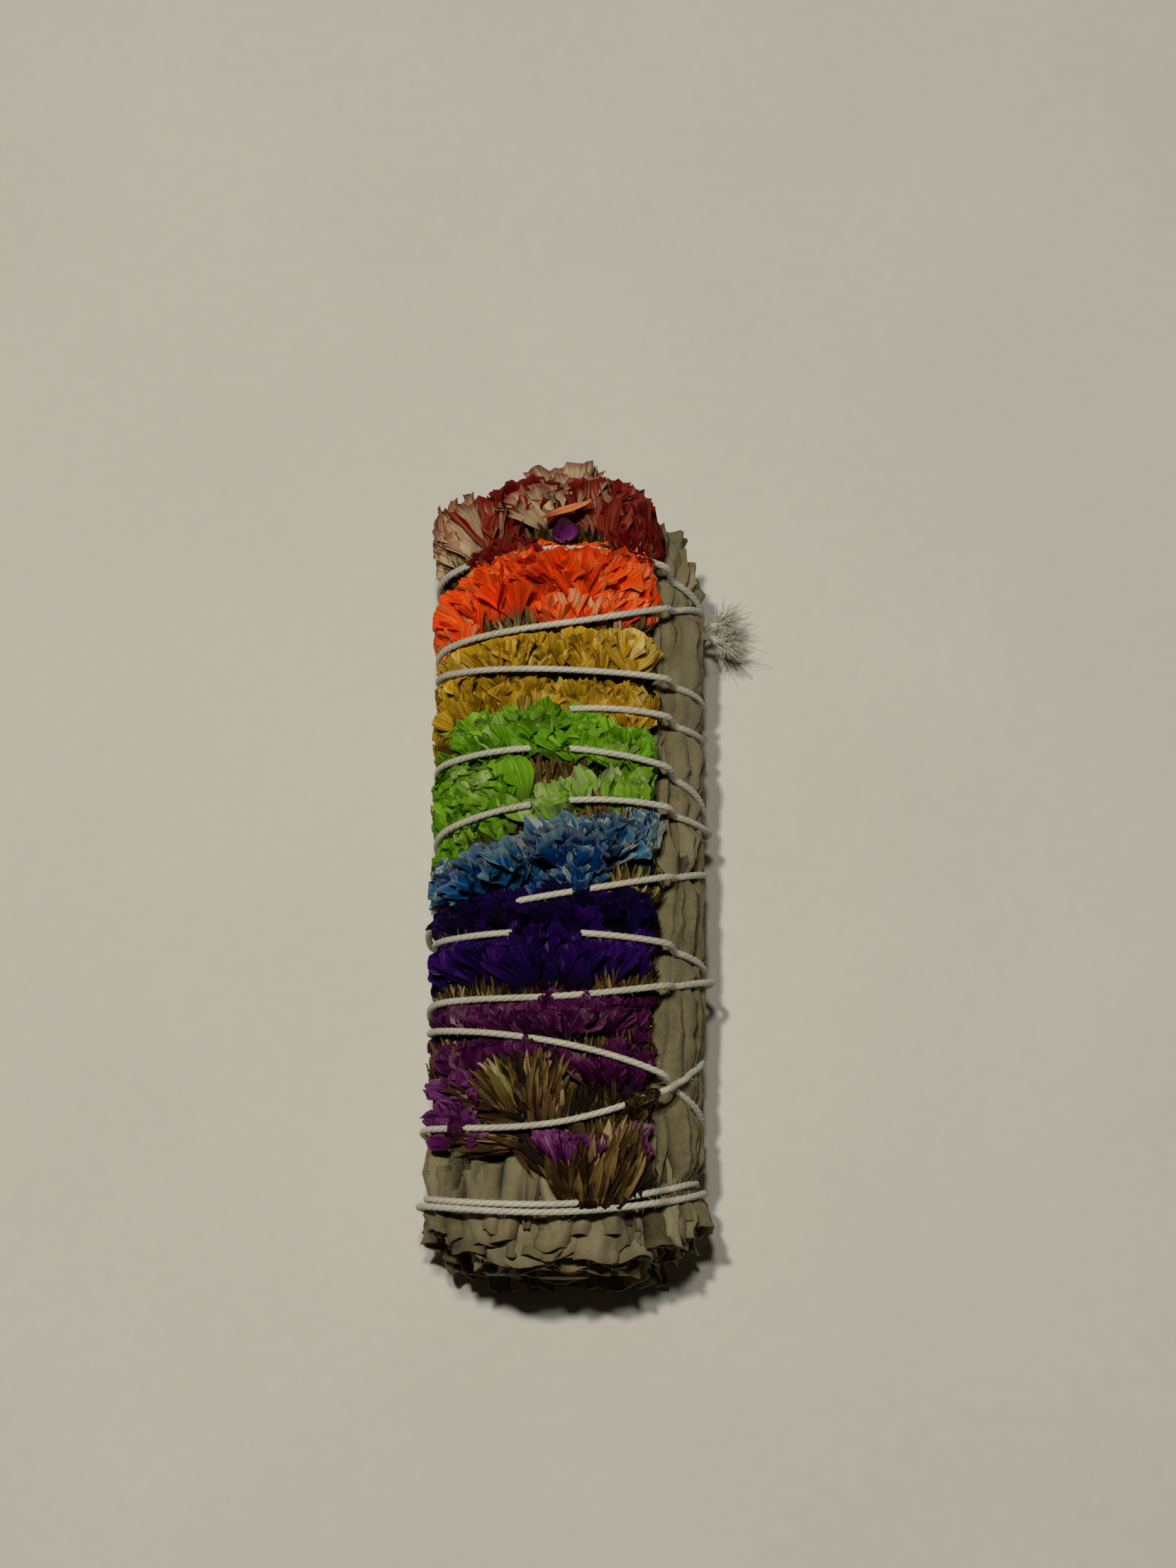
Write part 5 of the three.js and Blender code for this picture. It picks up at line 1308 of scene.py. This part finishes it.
@dataclass
class SageLeaves:
    """One sprig's share of the pressed leaves: inner leaves, outer leaves, and leaf ends at both ends."""

    book: PatternBook
    count: int = 6
    core_depth: float = 1.5
    core_ends: tuple[float, float] = (-47.4, 43.0)
    leaf_width: float = 6.6
    # Each layer of outer leaves: count, level, start and shade. The lower layers get darker shades, painted
    # shade where they lie under the upper ones.
    layers: tuple[tuple[int, float, float, float], ...] = (
        (4, -1.9, 0.0, 0.2), (3, -1.0, -14.0, 0.36), (2, 0.0, 15.0, 0.47), (1, 0.5, 0.0, 0.54),
    )
    end_counts: tuple[int, ...] = (4, 4, 4, 3, 3, 3, 2, 2, 2)
    end_steps: tuple[float, ...] = (3.2, 1.4, 2.0)
    end_depths: tuple[float, ...] = (0.1, 0.9, 1.8, 2.7, 3.7, 4.8, 6.0, 7.3, 8.6)

    def wedge(self, gather: Gather, angle: float) -> None:
        """The pressed inner leaves of a sprig, given a dark tone as painted shade between the outer ones.
        """
        slab = self.book.forms[Kind.SLAB]
        here = angle + 31.0 * slab.across * -1.0
        y = lerp(self.core_ends[0], self.core_ends[1], slab.along)
        side = np.abs(np.cos(np.radians(here)))
        y = y + 3.5 * side ** 4 * smoothstep(-y, 30.0, 48.0) - 4.5 * side ** 4 * smoothstep(y, 25.0, 43.0)
        height = BUNDLE.leaf_top(here) - self.core_depth + 8.6 * slab.corners[:, 2]
        height = height + gather.waves(here * 0.23, y, 5.0, 0.25)
        # The dark tone is painted shade in the gaps between the outer leaves.
        gather.add(slab, here, y, height, 0.12)

    def leaf(
        self, gather: Gather, angle: float, root: float, tip: float,
        width: float, level: float, shade: float,
    ) -> None:
        """Lays a long leaf along the bundle.

        Args:
            gather: the sprig's piece.
            angle: of the leaf round the bundle.
            root: y of its root.
            tip: y of its tip.
            width: across it.
            level: its height over the other leaves.
            shade: from 0 dark to 1 pale.
        """
        form, draw = self.book.forms[Kind.LEAF], gather.draw
        across, along = form.across, form.along
        size = abs(tip - root)
        ragged = 1.0 + gather.waves(0.0 * across + 9.0 * np.sign(across), along * size, 6.0, 0.16)
        x = form.corners[:, 0] * width * ragged
        sway = draw.uniform(-1.0, 1.0) * np.sin(along * math.pi * draw.uniform(0.8, 1.6))
        sway = sway + draw.uniform(-1.5, 1.5) * along
        sway = sway + gather.waves(0.0 * across, along * size, 11.0, 0.3)
        margin = -1.7 * np.abs(across) ** 3 - 0.3 * np.exp(-((across / 0.12) ** 2))
        turn = across * draw.uniform(3.0, 7.0) + draw.uniform(0.0, 6.0) + along * draw.uniform(-9, 9)
        folds = 0.5 * np.sin(turn)
        bumps = gather.waves(x, along * size, 4.2, 0.22) + gather.waves(x, along * size, 1.6, 0.1)
        height = level + margin + folds + bumps - 0.6 * smoothstep(along, 0.86, 1.0)
        height = height + form.corners[:, 2] / LEAF_THICKNESS * LEAF_DEPTH
        here = angle - (x + sway) / float(BUNDLE.rate(angle))
        y = lerp(root, tip, along)
        # Painted shade: the leaf is darker towards its edges, where the margins roll down out of the light.
        gather.add(form, here, y, BUNDLE.leaf_top(here) + height, shade - 0.34 * np.abs(across) ** 4)

    def torn_end(
        self, gather: Gather, angle: float, root: float, tip: float,
        width: float, depth: float, shade: float,
    ) -> None:
        """Lays the torn end of a leaf: its sides roll, and its end is ragged.

        Args:
            gather: the sprig's piece.
            angle: of the leaf round the bundle.
            root: y where it comes out of the bundle.
            tip: y of its torn end.
            width: across it.
            depth: how far it lies under the outer leaves.
            shade: from 0 dark to 1 pale.
        """
        form, draw = self.book.forms[Kind.TORN], gather.draw
        across, along = form.across, form.along
        out = math.copysign(1.0, tip - root)
        ragged = gather.waves(across, 0.0 * along, 2.4, 0.6) + gather.waves(across, 0.0 * along, 0.7, 0.12)
        x = form.corners[:, 0] * width * (1.0 + draw.uniform(-0.3, 0.3) * along)
        x = x + draw.uniform(-2.2, 2.2) * along
        roll = draw.uniform(-2.2, -1.0 if depth < 1.5 else 0.9)
        roll = roll * np.abs(across) ** 2.4 * (0.6 + 0.4 * along)
        fold = draw.uniform(0.1, 0.5) * np.sin(across * draw.uniform(2.0, 6.0) + draw.uniform(0.0, 6.0))
        flare = draw.uniform(-0.5, 0.9) * along ** 2
        crumple = gather.waves(x, along * 8.0, 3.0, 0.34) + gather.waves(x, along * 8.0, 1.3, 0.1)
        height = -depth + roll + fold + flare + crumple + draw.uniform(-0.4, 0.5)
        height = height + form.corners[:, 2] / TORN_THICKNESS * TORN_DEPTH
        scale = 1.0 - depth / 13.0
        here = angle - x / float(BUNDLE.rate(angle)) / scale
        y = lerp(root, tip, along) + out * ragged * along ** 2
        top = BUNDLE.leaf_top(here)
        # Painted shade: the torn end is darker towards its rolled sides.
        gather.add(form, here, y, top + height, shade - 0.3 * np.abs(across) ** 3, loose=depth > 2.0)

    def twig(self, gather: Gather, angle: float) -> None:
        """The sprig's cut twig in the cut end."""
        slab, draw = self.book.forms[Kind.SLAB], gather.draw
        turn = math.pi * slab.across
        low = slab.corners[:, 2] < -0.5
        radius = np.where(low, 0.15, 1.15) * (1.0 + 0.08 * np.sin(5.0 * turn))
        middle = angle + draw.uniform(-6.0, 6.0)
        here = middle + np.cos(turn) * radius / 0.07
        height = -8.2 + np.sin(turn) * radius
        y = lerp(-51.6, -46.5, slab.along) + np.where(low, 0.25, 0.0)
        gather.add(slab, here, y, height, 0.5, loose=True)

    @staticmethod
    def top_at(angle: float) -> float:
        """Where the leaves end under the red flowers, shorter at the sides and most on the right."""
        side = math.cos(math.radians(angle))
        return BUNDLE.top_end - 2.4 * abs(side) ** 3 - 6.0 * float(smoothstep(side, 0.84, 1.0))

    @staticmethod
    def cut_at(angle: float, depth: float) -> float:
        """Where the leaves end at the cut end, shorter at the sides and low down."""
        turn = math.radians(angle)
        low = 1.0 - (BUNDLE.centre_z + (BUNDLE.half_height - depth) * math.sin(turn)) / 22.0
        above = 1.5 * float(1.0 - smoothstep(depth, 0.0, 3.0)) * (1.0 - low)
        return BUNDLE.cut_end + 0.6 + 4.6 * abs(math.cos(turn)) ** 4 + 0.9 * low + above

    def outer_leaves(self, gather: Gather, angle: float) -> None:
        """The sprig's outer leaves, in overlapping layers."""
        draw = gather.draw
        for count, level, start, shade in self.layers:
            for k in range(count):
                middle = angle - 30.0 + 60.0 * (k + 0.5) / count + draw.uniform(-5.0, 5.0)
                width = self.leaf_width * draw.uniform(0.75, 1.15)
                rise = level + draw.uniform(-0.12, 0.2)
                root = start + draw.uniform(-7.0, 7.0)
                cut = -45.0 + draw.uniform(-3.0, 3.0)
                self.leaf(gather, middle, root, cut, width, rise, draw.normal(shade, 0.1))
                middle += draw.uniform(-6.0, 6.0)
                top = self.top_at(middle) - draw.uniform(0.5, 3.0)
                root = root - draw.uniform(0.0, 5.0)
                self.leaf(gather, middle, root, top, width, rise, draw.normal(shade, 0.1))

    def leaf_ends(self, gather: Gather, angle: float) -> None:
        """The torn ends of leaves in both ends of the bundle, layer under layer."""
        draw = gather.draw
        for i, depth in enumerate(self.end_depths):
            count, step = self.end_counts[i], self.end_steps[i % len(self.end_steps)]
            for k in range(count):
                middle = angle - 30.0 + 60.0 * (k + 0.5) / count + draw.uniform(-5.0, 5.0)
                width = draw.uniform(2.2, 5.4 if i == 0 else 6.2)
                cut = self.cut_at(middle, depth) + draw.uniform(-0.2, step)
                root = cut + draw.uniform(6.5, 10.5)
                self.torn_end(gather, middle, root, cut, width, depth, draw.normal(0.52, 0.14))
                top = self.top_at(middle) - draw.uniform(0.0, 2.6)
                self.torn_end(gather, middle, top - 8.0, top, width, depth, draw.normal(0.5, 0.12))

    def build(self) -> list[bpy.types.Object]:
        """Builds the six sprigs' pieces."""
        made = []
        for i in range(self.count):
            angle = -90.0 + 360.0 * i / self.count
            gather = Gather(self.book, 40 + i)
            self.wedge(gather, angle)
            self.twig(gather, angle)
            self.outer_leaves(gather, angle)
            self.leaf_ends(gather, angle)
            piece = gather.piece(
                f"sage_leaves_{i + 1}", SAGE.material(), crease=60.0, flowers=False, hides=False
            )
            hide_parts(f"sage_sprig_{i + 1}")
            made.append(piece)
        return made


@dataclass
class CottonString:
    """The twisted string, its knot and its frayed tails."""

    plies: int = 3
    pitch: float = 3.2
    sides: int = 12
    step: float = 0.34
    tail_aims: tuple = ((0.86, 0.5, -0.08), (0.94, -0.22, -0.26))
    tail_length: float = 3.6
    fibre_count: int = 190
    fuzz_count: int = 1500
    seed: int = 77

    @staticmethod
    def even(points: np.ndarray, step: float) -> np.ndarray:
        """Places along a line, a step apart."""
        along = np.concatenate([[0.0], np.cumsum(np.linalg.norm(np.diff(points, axis=0), axis=1))])
        wanted = np.linspace(0.0, along[-1], max(int(along[-1] / step), 2) + 1)
        return np.stack([np.interp(wanted, along, points[:, k]) for k in range(3)], 1)

    @staticmethod
    def frames(line: np.ndarray) -> tuple[np.ndarray, np.ndarray]:
        """Two directions square to a line at each of its points, carried along without turning."""
        along = np.gradient(line, axis=0)
        along /= np.linalg.norm(along, axis=1)[:, None]
        side = np.cross(along[0], (0.3, 0.2, 1.0))
        sides = []
        for direction in along:
            side = side - direction * np.dot(side, direction)
            side = side / np.linalg.norm(side)
            sides.append(side)
        first = np.array(sides)
        return first, np.cross(along, first)

    def strand(self, store: dict, line: np.ndarray, radius: np.ndarray, shade: float, twist: bool) -> None:
        """A round or plied strand along a line, closed at both ends."""
        line = np.concatenate([line[:1], line, line[-1:]])
        radius = np.concatenate([[1e-4], radius, [1e-4]])
        sides = self.sides if twist else 3
        first, second = self.frames(line + np.linspace(0, 1e-5, len(line))[:, None])
        length = np.concatenate([[0.0], np.cumsum(np.linalg.norm(np.diff(line, axis=0), axis=1))])
        turn = np.arange(sides) * 2.0 * math.pi / sides
        lay = length[:, None] * 2.0 * math.pi / self.pitch
        ply = np.abs(np.cos(0.5 * self.plies * (turn[None, :] + lay))) if twist else np.ones((1, sides))
        lobe = 0.66 + 0.38 * ply ** 0.7 if twist else 1.0
        reach = radius[:, None] * lobe
        cosines, sines = np.cos(turn)[None, :, None], np.sin(turn)[None, :, None]
        ring = reach[..., None] * (cosines * first[:, None, :] + sines * second[:, None, :])
        points = (line[:, None, :] + ring).reshape(-1, 3)
        start = sum(len(p) for p in store["points"])
        rows = np.arange(len(line) - 1)[:, None] * sides
        cols = np.arange(sides)[None, :]
        after = (cols + 1) % sides
        faces = np.stack([rows + cols, rows + after, rows + sides + after, rows + sides + cols], -1)
        store["points"].append(points)
        store["faces"].append(faces.reshape(-1, 4) + start)
        around = np.broadcast_to((turn[None, :] + lay) / (2.0 * math.pi), (len(line), sides))
        store["mapping"].append(np.stack([around.ravel(), np.repeat(length, sides)], 1))
        # Painted light and shade of the plies: the crests are painted paler and the grooves between them
        # darker.
        ply_shade = np.broadcast_to(0.55 * (ply - 0.7), (len(line), sides))
        store["shade"].append(shade + ply_shade.ravel())

    def lines(self) -> list[np.ndarray]:
        """The two wound lengths in space, smoothed where they are lifted off the surface."""
        made = []
        for route in WINDING.routes():
            points = BUNDLE.place(route[:, 0], route[:, 1], route[:, 2])
            points[:, 2] = np.maximum(points[:, 2], WINDING.radius + 0.08)
            made.append(self.even(points, self.step))
        return made

    def knot(self, store: dict, centre: np.ndarray) -> None:
        """An overhand knot: two tight loops of the same string."""
        turn = np.linspace(0.0, 4.0 * math.pi, 90)
        loop = np.stack([
            0.62 * np.cos(1.5 * turn) * (1.0 + 0.3 * np.cos(turn)),
            0.9 * np.sin(turn) * (1.0 + 0.2 * np.cos(1.5 * turn)),
            0.62 * np.sin(1.5 * turn) * (1.0 + 0.3 * np.cos(turn)),
        ], 1)
        line = self.even(centre + loop, self.step)
        self.strand(store, line, np.full(len(line), WINDING.radius), 0.55, True)

    def tail(self, store: dict, draw: np.random.Generator, start: np.ndarray, aim: tuple) -> None:
        """A tail with its plies opened into loose fibres."""
        way = np.array(aim) / np.linalg.norm(aim)
        end = start + way * self.tail_length
        part = np.linspace(0.0, 1.0, 14)[:, None]
        bow = 0.2 * np.sin(3.0 * part) * np.array([0, 0.4, 1.0])
        line = self.even(start + (end - start) * part + bow, self.step)
        self.strand(store, line, np.linspace(WINDING.radius, 0.8 * WINDING.radius, len(line)), 0.5, True)
        for _ in range(self.fibre_count):
            spread = draw.normal(0.0, 0.3, 3) * np.array([0.6, 1.0, 0.9])
            out = way + spread
            out /= np.linalg.norm(out)
            size = draw.uniform(1.2, 4.2)
            part = np.linspace(0.0, 1.0, 7)[:, None]
            bend = draw.normal(0.0, 0.9, 3)
            root = end - way * draw.uniform(0.2, 1.6) + draw.normal(0.0, 0.14, 3)
            curl = 0.25 * np.sin(part * 9.0) * draw.normal(0, 0.6, 3)
            fibre = root + out * size * part + bend * part ** 2 + curl
            fibre[:, 2] = np.maximum(fibre[:, 2], 0.1)
            self.strand(store, fibre, np.linspace(0.07, 0.03, len(fibre)), draw.uniform(0.4, 0.75), False)

    def fuzz(self, store: dict, draw: np.random.Generator, lines: list[np.ndarray]) -> None:
        """Short loose fibres all along the string."""
        whole = np.concatenate(lines)
        for index in draw.integers(2, len(whole) - 2, self.fuzz_count):
            out = draw.normal(0.0, 1.0, 3)
            out /= np.linalg.norm(out)
            root = whole[index] + out * WINDING.radius * 0.7
            size = draw.uniform(0.25, 0.8)
            part = np.linspace(0.0, 1.0, 4)[:, None]
            fibre = root + out * size * part + draw.normal(0.0, 0.3, 3) * part ** 2
            fibre[:, 2] = np.maximum(fibre[:, 2], 0.08)
            self.strand(store, fibre, np.linspace(0.025, 0.012, len(fibre)), 0.7, False)

    def build(self) -> bpy.types.Object:
        """Builds the string as one piece."""
        draw = np.random.default_rng(self.seed)
        store: dict[str, list] = {"points": [], "faces": [], "mapping": [], "shade": []}
        lines = self.lines()
        for line in lines:
            self.strand(store, line, np.full(len(line), WINDING.radius), 0.55, True)
        angle = np.array([WINDING.knot_angle])
        y = np.array([WINDING.knot_y])
        centre = BUNDLE.place(angle, y, BUNDLE.leaf_top(angle) + WINDING.knot_height)[0]
        self.knot(store, centre)
        for aim in self.tail_aims:
            self.tail(store, draw, centre, aim)
        self.fuzz(store, draw, lines)
        joined = {key: np.concatenate(value) for key, value in store.items()}
        joined["along"] = np.zeros(len(joined["points"]))
        made = sheet_mesh(
            "wound_string", joined["points"], joined["faces"], joined["mapping"], joined, COTTON.material()
        )
        made.data.shade_smooth()
        length = sum(float(np.linalg.norm(np.diff(line, axis=0), axis=1).sum()) for line in lines)
        log.info("the string is %.0f mm long", length)
        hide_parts("cotton_string")
        return made


@dataclass
class StrayPetals:
    """Loose petals of other sprays that lie on the red head."""

    book: PatternBook

    def build(self) -> list[bpy.types.Object]:
        """Builds the loose petals, each its own piece."""
        orange = Gather(self.book, 201)
        orange.grow(Tuft(
            102, 43.6, 5.6, 66, 2, 0.85, Kind.PETAL, 0.34, 5, (2, 8), 6.6, (0.3, 0.3), crumple=0.04,
        ))
        first = orange.piece("stray_orange_petal", ORANGE.material())
        mauve = Gather(self.book, 202)
        mauve.grow(Tuft(
            94, 43.6, 3.6, 172, 2, 0.46, Kind.PETAL, 1.1, 10, (-8, -2), 5.6, (0.3, 0.3), crumple=0.05,
        ))
        second = mauve.piece("stray_mauve_petal", LILAC.material())
        return [first, second]


@dataclass
class Studio:
    """A pale paper floor, two soft lamps with faint fill all round, and the photograph's camera."""

    floor_size: float = 3.0
    key_at: tuple[float, float, float] = (-0.099, 0.04, 0.62)
    key_size: float = 0.036
    key_power: float = 1.55
    top_at: tuple[float, float, float] = (-0.02, 0.075, 1.0)
    top_size: float = 0.08
    top_power: float = 2.45
    fill: float = 0.006
    camera_at: tuple[float, float, float] = (0.0007, -0.1436, 0.5149)
    camera_tilt: float = 17.31
    field_of_view: float = 22.0

    def floor(self) -> None:
        """Lays the floor."""
        bpy.ops.object.select_all(action="DESELECT")
        bpy.ops.mesh.primitive_plane_add(size=self.floor_size, location=(0.0, 0.0, 0.0))
        floor = bpy.context.object
        floor.name = "paper_floor"
        floor.data.materials.append(FLOOR.material())

    def lamp(self, name: str, place: tuple[float, float, float], size: float, power: float) -> None:
        """Hangs one soft round lamp that faces the stick."""
        lamp = bpy.data.lights.new(name, "AREA")
        lamp.shape = "DISK"
        lamp.size = size
        lamp.energy = power
        lamp.color = (1.0, 0.985, 0.945)
        hung = bpy.data.objects.new(name, lamp)
        hung.location = place
        hung.rotation_euler = (-math.atan2(place[1], place[2]), math.atan2(place[0], place[2]), 0.0)
        bpy.context.scene.collection.objects.link(hung)

    def lights(self) -> None:
        """Sets the key light, the soft light overhead and the faint fill."""
        self.lamp("key", self.key_at, self.key_size, self.key_power)
        self.lamp("overhead", self.top_at, self.top_size, self.top_power)
        world = bpy.data.worlds.new("fill")
        world.use_nodes = True
        background = world.node_tree.nodes["Background"]
        background.inputs["Color"].default_value = (0.97, 0.985, 1.0, 1.0)
        background.inputs["Strength"].default_value = self.fill
        bpy.context.scene.world = world

    def camera(self) -> None:
        """Sets up the camera."""
        lens = bpy.data.cameras.new("photograph")
        lens.sensor_fit = "VERTICAL"
        lens.angle = math.radians(self.field_of_view)
        lens.clip_start = 0.01
        view = bpy.data.objects.new("photograph", lens)
        view.location = self.camera_at
        view.rotation_euler = (math.radians(self.camera_tilt), 0.0, 0.0)
        bpy.context.scene.collection.objects.link(view)
        bpy.context.scene.camera = view
        bpy.context.scene.view_settings.view_transform = "Standard"


def dressed(pieces: list[bpy.types.Object]) -> None:
    """Fixes pieces to the bundle and reports them."""
    for piece in pieces:
        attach(piece, BODY)
        faces = len(piece.data.polygons)
        log.info("%s: %d faces", piece.name, faces)


def main() -> None:
    """Builds the stick and its studio."""
    logging.basicConfig(level=logging.INFO, format="%(message)s")
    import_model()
    book = PatternBook()
    book.model()
    for spray in SPRAYS:
        dressed(spray.build(book))
    dressed(SageLeaves(book).build())
    dressed([CottonString().build()])
    dressed(StrayPetals(book).build())
    studio = Studio()
    studio.floor()
    studio.lights()
    studio.camera()


if __name__ == "__main__":
    main()
